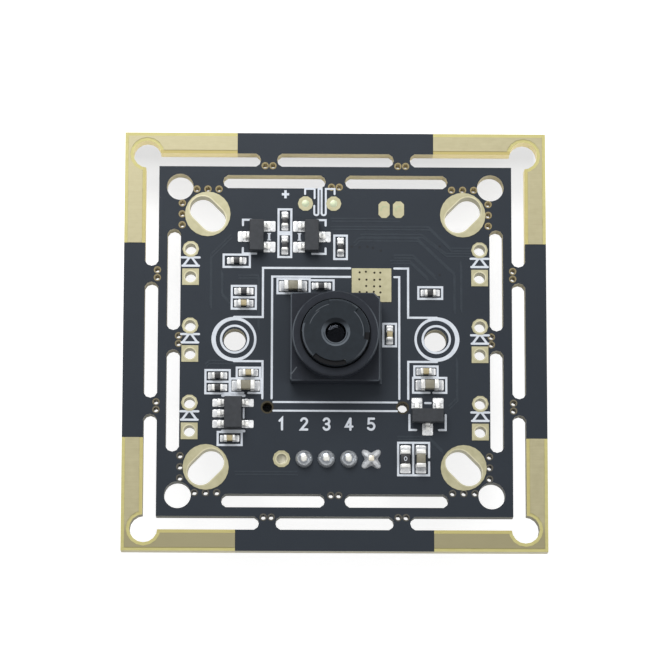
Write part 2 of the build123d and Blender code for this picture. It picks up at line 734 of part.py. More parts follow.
with BuildPart() as retaining_ring:
    ring(REAR_LENS[0], REAR_LENS[0] - RETAINER_W, RETAINER_T, retainer_seat)
save(retaining_ring.part, "retaining_ring")

# Cable header: an open-ended shroud on the back, whose pins go through the board
pins = pin_spots()
header_left = pins[0][0] - HEADER_END
header_right = pins[-1][0] + HEADER_END
header_low = pins[0][1] - HEADER_EDGE_SIDE
header_high = pins[0][1] + HEADER_INNER_SIDE
header_centre = ((header_left + header_right) / 2, (header_low + header_high) / 2)
header_size = (header_right - header_left, header_high - header_low)
with BuildPart() as header_housing:
    with BuildSketch(Plane.XY):
        with Locations(header_centre):
            Rectangle(*header_size)
    extrude(amount=-HEADER_H)
    with BuildSketch(Plane.XY.offset(-HEADER_H)):
        with Locations(header_centre):
            Rectangle(header_size[0] - 2 * HEADER_WALL, header_size[1] - 2 * HEADER_WALL)
    extrude(amount=HEADER_H - HEADER_FLOOR, mode=Mode.SUBTRACT)
    with BuildSketch(Plane.XY.offset(-HEADER_H)):
        for side in (-1, 1):
            with Locations((header_centre[0] + side * HEADER_NOTCH_AT, header_low + HEADER_WALL / 2)):
                Rectangle(HEADER_NOTCH_W, HEADER_WALL)
            with Locations((header_centre[0] + side * (header_size[0] - HEADER_WALL) / 2, header_centre[1])):
                Rectangle(HEADER_WALL, HEADER_SIDE_SLOT_W)
    extrude(amount=HEADER_NOTCH_H, mode=Mode.SUBTRACT)
    with BuildSketch(Plane.XY):
        with Locations(*pins):
            Rectangle(PIN_W, PIN_W)
    extrude(amount=-HEADER_FLOOR, mode=Mode.SUBTRACT)
save(header_housing.part, "header_housing")

pin_bottom = HEADER_PIN_DEPTH - HEADER_H
with BuildPart() as header_pins:
    with BuildSketch(Plane.XY.offset(pin_bottom)):
        with Locations(*pins[1:]):
            Rectangle(PIN_W, PIN_W)
    extrude(amount=FACE + PIN_STICK_OUT - pin_bottom)
    with BuildSketch(Plane.XY.offset(pin_bottom)):
        with Locations(pins[0]):
            Rectangle(PIN_W, PIN_W)
    extrude(amount=FACE - FREE_PIN_SUNK - pin_bottom)
save(header_pins.part, "header_pins")

# Solder cones round all pins but the first, with the last one's running out along the spokes of its pad
with BuildPart() as pin_solder:
    slope = atan2((PIN_PAD_R - JOINT_TOP_R) * cos(pi / SMALL_SIDES), JOINT_H)
    with BuildSketch(Plane.XY.offset(FACE)):
        with Locations(*pins[1:]):
            RegularPolygon(PIN_PAD_R, SMALL_SIDES)
    extrude(amount=JOINT_H, taper=degrees(slope))
    with BuildSketch(Plane.XY.offset(FACE)):
        with Locations(pins[-1]):
            with PolarLocations(0, 2, start_angle=45, angular_range=180):
                Rectangle(2 * SPOKE_REACH, SPOKE_W)
    extrude(amount=SPOKE_H)
    with BuildSketch(Plane.XY.offset(FACE)):
        with Locations(*pins[1:]):
            Rectangle(PIN_W, PIN_W)
    extrude(amount=JOINT_H, mode=Mode.SUBTRACT)
save(pin_solder.part, "pin_solder")

# Controller on the back: a flat square package with contacts along its four sides
with BuildPart() as controller_chip:
    with BuildSketch(spot(CONTROLLER_AT, CHIP_GAP, back=True)):
        Rectangle(CONTROLLER_SIDE, CONTROLLER_SIDE)
    extrude(amount=CONTROLLER_H)
save(controller_chip.part, "controller_chip")

with BuildPart() as controller_leads:
    first = -(CONTROLLER_LEADS - 1) * CONTROLLER_LEAD_PITCH / 2
    middle = (CONTROLLER_SIDE - CONTROLLER_LEAD[0]) / 2 + CONTROLLER_TOE
    with BuildSketch(spot(CONTROLLER_AT, 0, back=True)):
        with PolarLocations(0, 4):
            with Locations(*[(middle, first + i * CONTROLLER_LEAD_PITCH) for i in range(CONTROLLER_LEADS)]):
                Rectangle(*CONTROLLER_LEAD)
    extrude(amount=CHIP_GAP)
save(controller_leads.part, "controller_leads")

# Memory on the back, with four leads on each side
with BuildPart() as memory_chip:
    moulded_body(MEMORY_AT, MEMORY, back=True)
save(memory_chip.part, "memory_chip")

with BuildPart() as memory_leads:
    for side, across in MEMORY_LEADS:
        lead(MEMORY_AT, MEMORY, side, across, MEMORY_LEAD_REACH, MEMORY_LEAD_FOOT, LEAD_W, back=True)
save(memory_leads.part, "memory_leads")

# Crystal on the back: a ceramic base with a metal lid
with BuildPart() as crystal_base:
    with BuildSketch(spot(CRYSTAL_AT, CHIP_GAP, back=True)):
        Rectangle(CRYSTAL_BASE[0], CRYSTAL_BASE[1])
    extrude(amount=CRYSTAL_BASE[2])
save(crystal_base.part, "crystal_base")

with BuildPart() as crystal_lid:
    with BuildSketch(spot(CRYSTAL_AT, CHIP_GAP + CRYSTAL_BASE[2], back=True)):
        Rectangle(CRYSTAL_LID[0], CRYSTAL_LID[1])
    extrude(amount=CRYSTAL_LID[2])
save(crystal_lid.part, "crystal_lid")

# Chip parts on the back
with BuildPart() as back_capacitors:
    for place in BACK_CAPACITORS:
        chip_body(place, SMALL_CAPACITOR, back=True)
save(back_capacitors.part, "back_capacitors")

with BuildPart() as back_resistors:
    for place in BACK_RESISTORS:
        chip_body(place, SMALL_RESISTOR, back=True)
save(back_resistors.part, "back_resistors")

back_sets = ((BACK_CAPACITORS, SMALL_CAPACITOR), (BACK_RESISTORS, SMALL_RESISTOR))
with BuildPart() as back_terminals:
    for places, size in back_sets:
        for place in places:
            chip_caps(place, size, back=True)
save(back_terminals.part, "back_terminals")

with BuildPart() as back_solder:
    for places, size in back_sets:
        for place in places:
            chip_solder(place, size, SMALL_FILLET, back=True)
    for side, across in MEMORY_LEADS:
        lead_solder(
            MEMORY_AT, MEMORY, side, across, MEMORY_LEAD_REACH, MEMORY_LEAD_FOOT, MEMORY_PAD_W, back=True
        )
    with BuildSketch(spot(CRYSTAL_AT, 0, back=True)):
        pad_x = CRYSTAL_BASE[0] - CRYSTAL_PAD[0]
        pad_y = CRYSTAL_BASE[1] - CRYSTAL_PAD[1]
        with GridLocations(pad_x, pad_y, 2, 2):
            Rectangle(*CRYSTAL_PAD)
    extrude(amount=CHIP_GAP)
save(back_solder.part, "back_solder")
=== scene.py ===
"""Looks of the camera module: finishes for every CAD piece, the printed legend, smooth solder, plated holes,
traces under the solder mask, the lens's small details, and the stage, lights and camera.

Places and sizes are in millimetres, in the CAD frame, and are turned into metres when a mesh is made.
"""

from math import atan2, cos, hypot, pi, radians, sin

import bmesh
import bpy
from mathutils import Matrix, Vector


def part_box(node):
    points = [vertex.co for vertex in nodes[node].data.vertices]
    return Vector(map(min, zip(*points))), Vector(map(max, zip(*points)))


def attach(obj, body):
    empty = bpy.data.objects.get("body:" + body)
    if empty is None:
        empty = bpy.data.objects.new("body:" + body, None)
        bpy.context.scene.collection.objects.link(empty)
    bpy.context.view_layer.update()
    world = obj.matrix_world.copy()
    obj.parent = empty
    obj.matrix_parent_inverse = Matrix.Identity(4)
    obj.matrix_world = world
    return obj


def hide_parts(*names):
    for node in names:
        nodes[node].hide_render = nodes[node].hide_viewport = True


MM = 0.001
SMOOTH_UNDER = 50  # degrees: a sharper bend than this stays a visible edge

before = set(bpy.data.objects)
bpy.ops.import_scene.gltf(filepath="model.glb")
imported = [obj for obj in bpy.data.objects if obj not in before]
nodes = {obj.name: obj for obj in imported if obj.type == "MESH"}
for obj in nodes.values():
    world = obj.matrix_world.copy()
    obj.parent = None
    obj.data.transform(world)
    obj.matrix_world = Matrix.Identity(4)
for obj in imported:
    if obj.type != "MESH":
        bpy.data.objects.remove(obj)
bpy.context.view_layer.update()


def low(node):
    """Lowest corner of a CAD node, in millimetres."""
    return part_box(node)[0] / MM


def high(node):
    """Highest corner of a CAD node, in millimetres."""
    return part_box(node)[1] / MM


def centre(node):
    """Middle of a CAD node's box, in millimetres."""
    return (low(node) + high(node)) / 2


# Sizes read from the frame
BOARD_HALF = high("circuit_board").x
FACE = high("circuit_board").z
GOLD_TOP = high("ground_pad").z
HOLDER_HALF = high("lens_holder").x
BARREL_TOP = high("lens_barrel").z

# Places that repeat those of the CAD source
CORNER_HOLE = BOARD_HALF - 2.0
CORNER_HOLE_R = 1.25
RIM_INNER = BOARD_HALF - 1.9
STRIP_END = 8.85
LED_X = 13.0
LED_ROWS = (7.0, 0.0, -7.0)
LED_PITCH = 2.54
LED_HOLE_R = 0.55
PEG = (6.05, -6.1)
PEG_R = 0.45
PIN_X = (-4.75, -2.75, -0.75, 1.25, 3.25)
PIN_Y = -10.75
PIN_HOLE_R = 0.5
CHIP_GAP = 0.05

SLOTTED = BOARD_HALF - 7.5
SLOTTED_W = 2.4
SLOTTED_L = 3.7
MICROPHONE_PITCH = 2.54
OVAL_PAD_X = (4.4, 5.7)
PERF_R = 0.25
SLOT_W = 1.2
WEB_W = 0.8
EYE_MOUTH_R = 1.28
NOTCH_DEPTH = 0.16
HOLDER_BASE_H = 2.0

# Ink of the legend: the lines' tops take turns at close heights, so that crossing lines share no face
INK_T = 0.02
INK_W = 0.19
INK_STEP = 0.0008
INK_STEPS = 9
SAME_POINT = 1e-4


def new_object(name, data):
    """An object of the scene."""
    made = bpy.data.objects.new(name, data)
    bpy.context.scene.collection.objects.link(made)
    return made


class Shape:
    """Collects closed solids in one mesh, in millimetres, and turns them into one object."""

    def __init__(self, name):
        self.name = name
        self.mesh = bmesh.new()

    def solid(self, *loops):
        """A solid through two or more loops of points with equal counts, flat at both ends."""
        rings = [[self.mesh.verts.new(Vector(point) * MM) for point in loop] for loop in loops]
        self.mesh.faces.new(list(reversed(rings[0])))
        self.mesh.faces.new(rings[-1])
        for a, b in zip(rings, rings[1:]):
            self.band(a, b)

    def band(self, a, b):
        """Four-sided faces all the way round between two rings of points."""
        for i in range(len(a)):
            j = (i + 1) % len(a)
            self.mesh.faces.new((a[i], a[j], b[j], b[i]))

    def prism(self, outline, z0, z1):
        """An upright solid over an outline that runs anticlockwise."""
        self.solid([(x, y, z0) for x, y in outline], [(x, y, z1) for x, y in outline])

    def frame(self, outer, inner, z0, z1):
        """An upright ring between two outlines with equal counts."""
        loops = []
        for outline, z in ((outer, z0), (outer, z1), (inner, z1), (inner, z0)):
            loops.append([self.mesh.verts.new(Vector((x, y, z)) * MM) for x, y in outline])
        for a, b in zip(loops, loops[1:] + loops[:1]):
            self.band(a, b)

    def lathe(self, profile, x, y, sides):
        """Points (radius, height) turned about an upright axis; radius 0 closes the form."""
        rings = []
        for radius, z in profile:
            if radius == 0:
                rings.append([self.mesh.verts.new(Vector((x, y, z)) * MM)])
                continue
            ring = []
            for i in range(sides):
                angle = 2 * pi * i / sides
                point = Vector((x + radius * cos(angle), y + radius * sin(angle), z))
                ring.append(self.mesh.verts.new(point * MM))
            rings.append(ring)
        for a, b in zip(rings, rings[1:]):
            if len(a) == len(b):
                self.band(a, b)
                continue
            for i in range(sides):
                j = (i + 1) % sides
                if len(a) == 1:
                    self.mesh.faces.new((a[0], b[j], b[i]))
                else:
                    self.mesh.faces.new((a[i], a[j], b[0]))

    def finish(self, material, smooth=False):
        """Makes the object, gives it its finish and lets it ride on the part."""
        bmesh.ops.recalc_face_normals(self.mesh, faces=self.mesh.faces)
        data = bpy.data.meshes.new(self.name)
        self.mesh.to_mesh(data)
        self.mesh.free()
        for polygon in data.polygons:
            polygon.use_smooth = smooth
        if smooth:
            data.set_sharp_from_angle(angle=radians(SMOOTH_UNDER))
        data.materials.append(material)
        piece = new_object(self.name, data)
        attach(piece, "root")
        return piece


def circle(x, y, radius, sides=40):
    """Points of a circle, anticlockwise."""
    return oval(x, y, radius, radius, sides)


def oval(x, y, across, upright, sides):
    """Points of an oval with two half widths, anticlockwise."""
    turns = [2 * pi * i / sides for i in range(sides)]
    return [(x + across * cos(turn), y + upright * sin(turn)) for turn in turns]


def arc(x, y, radius, start, end, sides):
    """Points of an arc from one angle to another, in degrees."""
    steps = [radians(start + (end - start) * i / sides) for i in range(sides + 1)]
    return [(x + radius * cos(angle), y + radius * sin(angle)) for angle in steps]


def offset_path(path, distance, closed):
    """The path moved sideways to its left, with mitred corners."""
    moved = []
    count = len(path)
    for i, (x, y) in enumerate(path):
        before = path[i - 1] if closed or i > 0 else None
        after = path[(i + 1) % count] if closed or i < count - 1 else None
        normals = []
        for a, b in ((before, (x, y)), ((x, y), after)):
            if a is None or b is None:
                continue
            length = hypot(b[0] - a[0], b[1] - a[1])
            normals.append(((a[1] - b[1]) / length, (b[0] - a[0]) / length))
        nx = sum(n[0] for n in normals) / len(normals)
        ny = sum(n[1] for n in normals) / len(normals)
        scale = distance / (nx * nx + ny * ny)
        moved.append((x + nx * scale, y + ny * scale))
    return moved


strokes_made = [0]


def ink_height():
    """The top of the next line of ink."""
    strokes_made[0] += 1
    return FACE + INK_T + INK_STEP * (strokes_made[0] % INK_STEPS)


def round_cap(end, before, radius):
    """Points round the end of a line that comes from the point before it."""
    out = atan2(end[1] - before[1], end[0] - before[0])
    turns = [out + radians(angle) for angle in (-60, -30, 0, 30, 60)]
    return [(end[0] + radius * cos(turn), end[1] + radius * sin(turn)) for turn in turns]


def stroke(shape, path, width=INK_W, top=None, closed=False, base=FACE):
    """A line of ink along a path, with round ends where it is open."""
    top = ink_height() if top is None else top
    pairs = zip(path[1:], path)
    path = path[:1] + [p for p, last in pairs if hypot(p[0] - last[0], p[1] - last[1]) > SAME_POINT]
    left = offset_path(path, width / 2, closed)
    right = offset_path(path, -width / 2, closed)
    if closed:
        shape.frame(right, left, base, top)
        return
    end_cap = round_cap(path[-1], path[-2], width / 2)
    start_cap = round_cap(path[0], path[1], width / 2)
    shape.prism(right + end_cap + left[::-1] + start_cap, base, top)


def box_path(x, y, width, height):
    """Corners of a rectangle round a centre, anticlockwise."""
    w, h = width / 2, height / 2
    return [(x - w, y - h), (x + w, y - h), (x + w, y + h), (x - w, y + h)]


NOISE_ROUGHNESS = 0.55


class Nodes:
    """Short names for building the node tree of a material or of the sky."""

    def __init__(self, owner, shader="Principled BSDF"):
        owner.use_nodes = True
        self.owner = owner
        self.tree = owner.node_tree
        self.shader = self.tree.nodes[shader]

    def add(self, kind, **settings):
        """Adds a node and sets its properties."""
        node = self.tree.nodes.new(kind)
        for key, value in settings.items():
            setattr(node, key, value)
        return node

    def link(self, source, target):
        """Joins two sockets, or sets a plain value on the second."""
        if hasattr(source, "links"):
            self.tree.links.new(source, target)
        else:
            target.default_value = source

    def math(self, operation, a, b=0.0):
        """One arithmetic step."""
        node = self.add("ShaderNodeMath", operation=operation)
        for value, socket in zip((a, b), node.inputs):
            self.link(value, socket)
        return node.outputs[0]

    def times(self, a, b):
        """A product of two values."""
        return self.math("MULTIPLY", a, b)

    def place(self):
        """The place on the object, in metres."""
        return self.add("ShaderNodeTexCoord").outputs["Object"]

    def noise(self, size, stretch=(1, 1, 1), detail=3.0):
        """Noise whose lumps are about size millimetres, longer along the axes that stretch names."""
        mapping = self.add("ShaderNodeMapping")
        self.link(self.place(), mapping.inputs["Vector"])
        mapping.inputs["Scale"].default_value = [1 / (size * MM * s) for s in stretch]
        node = self.add("ShaderNodeTexNoise")
        self.link(mapping.outputs[0], node.inputs["Vector"])
        node.inputs["Scale"].default_value = 1.0
        node.inputs["Detail"].default_value = detail
        node.inputs["Roughness"].default_value = NOISE_ROUGHNESS
        return node.outputs["Fac"]

    def ramp(self, value, low_at, high_at, low_value=0.0, high_value=1.0):
        """A value spread from one range to another, held at its ends."""
        node = self.add("ShaderNodeMapRange")
        self.link(value, node.inputs["Value"])
        limits = {"From Min": low_at, "From Max": high_at, "To Min": low_value, "To Max": high_value}
        for key, number in limits.items():
            node.inputs[key].default_value = number
        return node.outputs["Result"]

    def mix(self, factor, a, b):
        """A colour between two, each a socket or a colour as it shows on a screen, from 0 to 255."""
        node = self.add("ShaderNodeMix", data_type="RGBA")
        self.link(factor, node.inputs["Factor"])
        for value, socket in ((a, node.inputs[6]), (b, node.inputs[7])):
            self.link(srgb(*value) if isinstance(value, tuple) else value, socket)
        return node.outputs[2]

    def bump(self, height, depth, before=None):
        """Relief of depth millimetres from a height between 0 and 1."""
        node = self.add("ShaderNodeBump")
        node.inputs["Distance"].default_value = depth * MM
        self.link(height, node.inputs["Height"])
        if before is not None:
            self.link(before, node.inputs["Normal"])
        return node.outputs["Normal"]

    def parts(self, vector=None):
        """The three coordinates of a vector, or of the place on the object."""
        split = self.add("ShaderNodeSeparateXYZ")
        self.link(self.place() if vector is None else vector, split.inputs[0])
        return split.outputs

    def facing(self):
        """The three coordinates of the face's own direction."""
        return self.parts(self.add("ShaderNodeNewGeometry").outputs["True Normal"])

    def set(self, **values):
        """Sets or links inputs of the shader; an underscore stands for a space."""
        for key, value in values.items():
            self.link(value, self.shader.inputs[key.replace("_", " ")])
        return self.owner


def surface(name):
    """Nodes of a new material."""
    return Nodes(bpy.data.materials.new(name))


def seen_directly(n):
    """1 for what the camera sees, by itself, in gloss or through glass, and 0 for other light."""
    path = n.add("ShaderNodeLightPath")
    seen = n.math("MAXIMUM", path.outputs["Is Camera Ray"], path.outputs["Is Glossy Ray"])
    return n.math("MAXIMUM", seen, path.outputs["Is Transmission Ray"])


def srgb(red, green, blue):
    """A colour given as it shows on a screen, from 0 to 255, as the shader needs it."""
    linear = []
    for value in (red, green, blue):
        share = value / 255
        linear.append(share / 12.92 if share <= 0.04045 else ((share + 0.055) / 1.055) ** 2.4)
    return (*linear, 1.0)


def inside(n, value, limit, edge=0.01):
    """1 where a value in metres lies under a limit in millimetres, with a narrow soft edge."""
    return n.ramp(value, (limit - edge) * MM, (limit + edge) * MM, 1.0, 0.0)


def distance_from(n, x, y, place):
    """Distance from a place given in millimetres, of two coordinates in metres."""
    dx = n.math("SUBTRACT", x, place[0] * MM)
    dy = n.math("SUBTRACT", y, place[1] * MM)
    return n.math("SQRT", n.math("ADD", n.times(dx, dx), n.times(dy, dy)))


PAINTED_WALL_GLOW = (0.08, 0.24)  # painted glow on the bare corners' walls, standing in for light through the laminate, at the board's lower side and its upper one
SIDE_SPAN = 12.0  # walls change their painted shade from this far below the board's middle to this far above it


def toward_top(n, y):
    """0 at the board's lower side and 1 at its upper side, from a coordinate in metres."""
    return n.ramp(y, -SIDE_SPAN * MM, SIDE_SPAN * MM)


def board_material():
    """Solder mask on both faces, bare laminate at the corners and on every cut wall, painted shade on the
    walls towards the board's lower side and in and round the peg holes, and a painted glow on the corners'
    walls.
    """
    n = surface("board")
    place = n.parts()
    x, y = (n.math("ABSOLUTE", place[i]) for i in (0, 1))
    farther = n.math("MAXIMUM", x, y)
    at_top = toward_top(n, place[1])
    from_peg = distance_from(n, x, place[1], PEG)
    on_face = n.math("GREATER_THAN", n.math("ABSOLUTE", n.facing()[2]), 0.5)

    cloud = n.noise(3.0, detail=2.0)
    grain = n.noise(0.09, detail=4.0)
    mask = n.mix(cloud, (38, 43, 50), (43, 49, 56))
    mask = n.mix(n.times(grain, 0.3), mask, (54, 60, 68))

    weave = n.noise(0.35, stretch=(3, 1, 1))
    bare = n.mix(weave, (188, 180, 118), (206, 199, 140))
    by_slot = inside(n, farther, RIM_INNER + 0.32)
    upper = n.math("GREATER_THAN", place[1], x)
    tint = n.times(by_slot, n.ramp(upper, 0.0, 1.0, 0.35, 0.8))
    bare = n.mix(tint, bare, (184, 168, 108))

    layers = n.ramp(n.noise(0.11, stretch=(14, 14, 0.5), detail=4.0), 0.3, 0.7)
    # Painted shade: the cut walls are greyer and darker towards the board's lower side
    wall_dark = n.mix(at_top, (138, 138, 134), (208, 199, 168))
    wall_light = n.mix(at_top, (166, 167, 164), (242, 235, 212))
    wall = n.mix(layers, wall_dark, wall_light)
    outside = n.math("GREATER_THAN", farther, (BOARD_HALF - 0.05) * MM)
    wall = n.mix(outside, wall, n.mix(layers, (228, 223, 200), (242, 238, 218)))
    # Painted shade on the walls of the peg holes
    wall = n.mix(inside(n, from_peg, PEG_R + 0.05), wall, (84, 76, 56))

    rim = n.math("GREATER_THAN", farther, RIM_INNER * MM)
    corner = n.math("GREATER_THAN", n.math("MINIMUM", x, y), STRIP_END * MM)
    by_hole = inside(n, distance_from(n, x, y, (CORNER_HOLE, CORNER_HOLE)), CORNER_HOLE_R + 0.3)
    face = n.mix(n.times(rim, n.math("MAXIMUM", corner, by_hole)), mask, bare)
    # Painted shade in a dark ring on the face round the peg holes
    face = n.mix(inside(n, from_peg, PEG_R + 0.13), face, (64, 59, 46))
    colour = n.mix(on_face, wall, face)
    rough = n.ramp(n.math("ADD", grain, on_face), 0.3, 1.7, 0.75, 0.4)
    # Painted glow on the bare walls of the corners, weaker towards the board's lower side
    by_rim = n.math("GREATER_THAN", farther, (RIM_INNER - 0.05) * MM)
    bare_wall = n.times(n.math("SUBTRACT", 1.0, on_face), n.times(by_rim, corner))
    glow = n.times(bare_wall, n.ramp(at_top, 0.0, 1.0, *PAINTED_WALL_GLOW))
    n.set(Emission_Color=srgb(255, 236, 160), Emission_Strength=glow)
    relief = n.bump(grain, 0.003, n.bump(cloud, 0.01))
    return n.set(Base_Color=colour, Roughness=rough, Normal=relief, Specular_IOR_Level=0.14)


SHADED_STRIP_Y = (-17.4, -16.6)  # the lower corner strips get painted shade along the board's edge, up to here


def gold_material(name, dark, light, hatch=0.0):
    """Thin matte gold over copper, with faint brushing along X and painted shade on the lower strips where
    hatch is more than 0.
    """
    n = surface(name)
    cloud = n.noise(0.8, detail=4.0)
    grain = n.noise(0.05, detail=2.0)
    lines = n.noise(0.1, stretch=(14, 1, 1), detail=2.0)
    tone = n.math("ADD", n.times(cloud, 1 - hatch), n.times(lines, hatch))
    colour = n.mix(n.ramp(tone, 0.3, 0.7), dark, light)
    if hatch:
        # Painted shade on the lower corner strips, along the board's edge
        strip_shade = n.ramp(n.parts()[1], *(y * MM for y in SHADED_STRIP_Y), 0.8, 0.0)
        colour = n.mix(strip_shade, colour, (140, 133, 101))
    relief = n.bump(lines, 0.004 * hatch, n.bump(grain, 0.002))
    rough = n.ramp(cloud, 0.3, 0.7, 0.42, 0.52)
    return n.set(Base_Color=colour, Metallic=0.35, Roughness=rough, Normal=relief)


def metal_material(name, dark, light, rough, size, depth, metallic=0.6):
    """Solder, tin and plated metal: a bright surface with small lumps."""
    n = surface(name)
    lumps = n.noise(size, detail=2.0)
    film = n.noise(size * 4, detail=2.0)
    colour = n.mix(n.ramp(film, 0.35, 0.65), dark, light)
    roughness = n.ramp(lumps, 0.3, 0.7, rough * 0.8, rough * 1.2)
    return n.set(Base_Color=colour, Metallic=metallic, Roughness=roughness, Normal=n.bump(lumps, depth))


def pin_solder_material():
    """Solder round the header's pins, with painted reflections: bright on the pin's tip and at the foot of
    the slope, darker between.
    """
    n = surface("pin_solder_painted_reflections")
    place = n.parts()
    pitch = PIN_X[1] - PIN_X[0]
    along = n.math("SUBTRACT", place[0], (PIN_X[0] - pitch / 2) * MM)
    along = n.math("SUBTRACT", n.math("MODULO", along, pitch * MM), pitch / 2 * MM)
    away = distance_from(n, along, place[1], (0.0, PIN_Y))
    lumps = n.noise(0.3, detail=2.0)
    away = n.math("ADD", away, n.times(n.math("SUBTRACT", lumps, 0.5), 0.3 * MM))
    # Painted reflections: rings of light and dark round each pin
    colour = n.mix(n.ramp(away, 0.2 * MM, 0.34 * MM), (228, 228, 222), (128, 132, 138))
    colour = n.mix(n.ramp(away, 0.46 * MM, 0.62 * MM), colour, (198, 202, 206))
    return n.set(Base_Color=colour, Metallic=0.6, Roughness=0.2, Normal=n.bump(lumps, 0.01))


PAINTED_GLOW = 0.4  # strength of the painted glow on pale laminate and nylon, standing in for the light that comes through them


def grained(n, cloud_size, grain_size, dark, light):
    """A mixture of two close tones, cloudy and grainy, and the grain by itself."""
    cloud = n.noise(cloud_size, detail=3.0)
    grain = n.noise(grain_size, detail=4.0)
    tone = n.math("ADD", n.times(cloud, 0.6), n.times(grain, 0.4))
    return n.mix(n.ramp(tone, 0.35, 0.65), dark, light), grain


def grain_material(name, dark, light, rough, size, depth, specular=0.5, inner=None):
    """Moulded plastic, glaze or ceramic in two close tones; inner is the colour of a painted glow, standing
    in for light that comes through it.
    """
    n = surface(name)
    colour, grain = grained(n, size * 9, size, dark, light)
    roughness = n.ramp(grain, 0.3, 0.7, rough * 0.85, min(1.0, rough * 1.15))
    relief = n.bump(grain, depth)
    if inner:
        n.set(Emission_Color=inner, Emission_Strength=PAINTED_GLOW)
    return n.set(Base_Color=colour, Roughness=roughness, Normal=relief, Specular_IOR_Level=specular)


def lens_plastic(name, dark, light, sides_from, ring=0.0, floor_z=None):
    """Black moulded plastic with a painted highlight on its narrow sloping faces from sides_from millimetres
    outwards.

    A cone within ring millimetres of the axis has a painted highlight too, but painted shade at its upper
    side, and in the lower half a floor at floor_z has painted shade.
    """
    n = surface(name)
    x, y, z = n.parts()
    colour, grain = grained(n, 0.6, 0.05, dark, light)
    upright = n.facing()[2]
    # Painted highlight on sloping faces, stronger towards the sides
    sloping = n.times(n.math("GREATER_THAN", upright, 0.3), n.math("LESS_THAN", upright, 0.95))
    at_side = n.ramp(n.math("ABSOLUTE", x), (sides_from - 0.9) * MM, sides_from * MM, 0.12, 0.85)
    colour = n.mix(n.times(sloping, at_side), colour, (88, 94, 101))
    if ring:
        # Painted highlight on the eye's cone, with painted shade at its upper side
        cone = n.times(sloping, inside(n, distance_from(n, x, y, (0, 0)), ring + 0.02))
        shade = n.mix(n.ramp(y, 0.3 * MM, 0.95 * MM), (90, 97, 104), (27, 31, 36))
        colour = n.mix(cone, colour, shade)
    if floor_z is not None:
        # Painted shade on the notches' floors in the lower half
        from_floor = n.math("ABSOLUTE", n.math("SUBTRACT", z, floor_z * MM))
        notch_floor_shade = n.times(n.math("LESS_THAN", from_floor, 0.02 * MM), n.math("LESS_THAN", y, 0.0))
        colour = n.mix(notch_floor_shade, colour, (11, 12, 15))
    roughness = n.ramp(grain, 0.3, 0.7, 0.4, 0.52)
    return n.set(Base_Color=colour, Roughness=roughness, Normal=n.bump(grain, 0.004), Specular_IOR_Level=0.12)


def glass_material(name, tint):
    """Coated glass with few reflections, of the tint given; a dark tint paints the shade of what lies behind
    it.
    """
    n = surface(name)
    film = n.noise(1.5, detail=1.0)
    roughness = n.ramp(film, 0.3, 0.7, 0.018, 0.042)
    n.set(Specular_IOR_Level=0.1, Specular_Tint=(0.16, 0.175, 0.21, 1.0))
    return n.set(Base_Color=tint, Roughness=roughness, IOR=1.5, Transmission_Weight=1.0)


def perforation_material():
    """Bare laminate round the small holes, with painted shade and a painted glow: golden at the board's upper
    side, darker at the lower one.
    """
    n = surface("bare_lip_painted_light")
    grain = n.noise(0.05, detail=4.0)
    at_top = toward_top(n, n.parts()[1])
    # Painted shade towards the board's lower side
    dark = n.mix(at_top, (58, 56, 49), (112, 101, 68))
    light = n.mix(at_top, (74, 71, 62), (134, 122, 86))
    colour = n.mix(n.ramp(grain, 0.3, 0.7), dark, light)
    # Painted glow, weaker towards the board's lower side
    glow = n.mix(at_top, (48, 45, 38), (124, 108, 68))
    rough = n.ramp(grain, 0.3, 0.7, 0.5, 0.7)
    n.set(Emission_Color=glow, Emission_Strength=PAINTED_GLOW)
    return n.set(Base_Color=colour, Roughness=rough, Normal=n.bump(grain, 0.003))


BOARD = board_material()
CORNER_GOLD = gold_material("corner_gold", (158, 151, 118), (170, 163, 130), hatch=0.4)
GOLD = gold_material("gold", (158, 153, 121), (174, 169, 138))
LIP_GOLD = gold_material("lip_gold", (178, 173, 142), (196, 191, 162))
DIMPLE_FILL = gold_material("dimple_fill", (166, 174, 146), (190, 198, 168))
PAD_FILL = gold_material("pad_fill", (142, 150, 118), (164, 172, 138))
SOLDER = metal_material("solder", (212, 214, 216), (240, 241, 242), 0.3, 0.35, 0.003, metallic=0.25)
PIN_SOLDER = pin_solder_material()
STAR_SOLDER = metal_material("star_solder", (176, 179, 183), (232, 234, 236), 0.26, 0.22, 0.012, metallic=0.4)
SUNK_SOLDER = metal_material("sunk_solder", (132, 129, 112), (176, 172, 152), 0.4, 0.25, 0.004, metallic=0.3)
TIN = metal_material("tin", (206, 206, 204), (234, 234, 230), 0.36, 0.25, 0.002, metallic=0.35)
MOULDING = grain_material("moulding", (34, 37, 41), (48, 51, 56), 0.6, 0.05, 0.006, specular=0.35)
GLAZE = grain_material("resistor_glaze", (22, 23, 26), (36, 37, 40), 0.35, 0.06, 0.003)
SMALL_CERAMIC = grain_material("small_ceramic", (156, 143, 108), (180, 167, 132), 0.5, 0.04, 0.003)
LARGE_CERAMIC = grain_material("large_ceramic", (114, 110, 95), (138, 134, 117), 0.5, 0.05, 0.003)
HOLDER = lens_plastic("holder_plastic", (33, 36, 43), (39, 43, 50), 3.6)
BARREL = lens_plastic(
    "barrel_plastic", (31, 36, 41), (36, 42, 48), 2.3, EYE_MOUTH_R, BARREL_TOP - NOTCH_DEPTH)
# Lighter plastic: painted highlights on the barrel's notch edges and on the glue's slope, and the holder's
# mark
HIGHLIGHT_AND_MARK_PLASTIC = grain_material("highlight_and_mark_plastic", (66, 71, 77), (84, 90, 97), 0.5, 0.05, 0.002, specular=0.3)
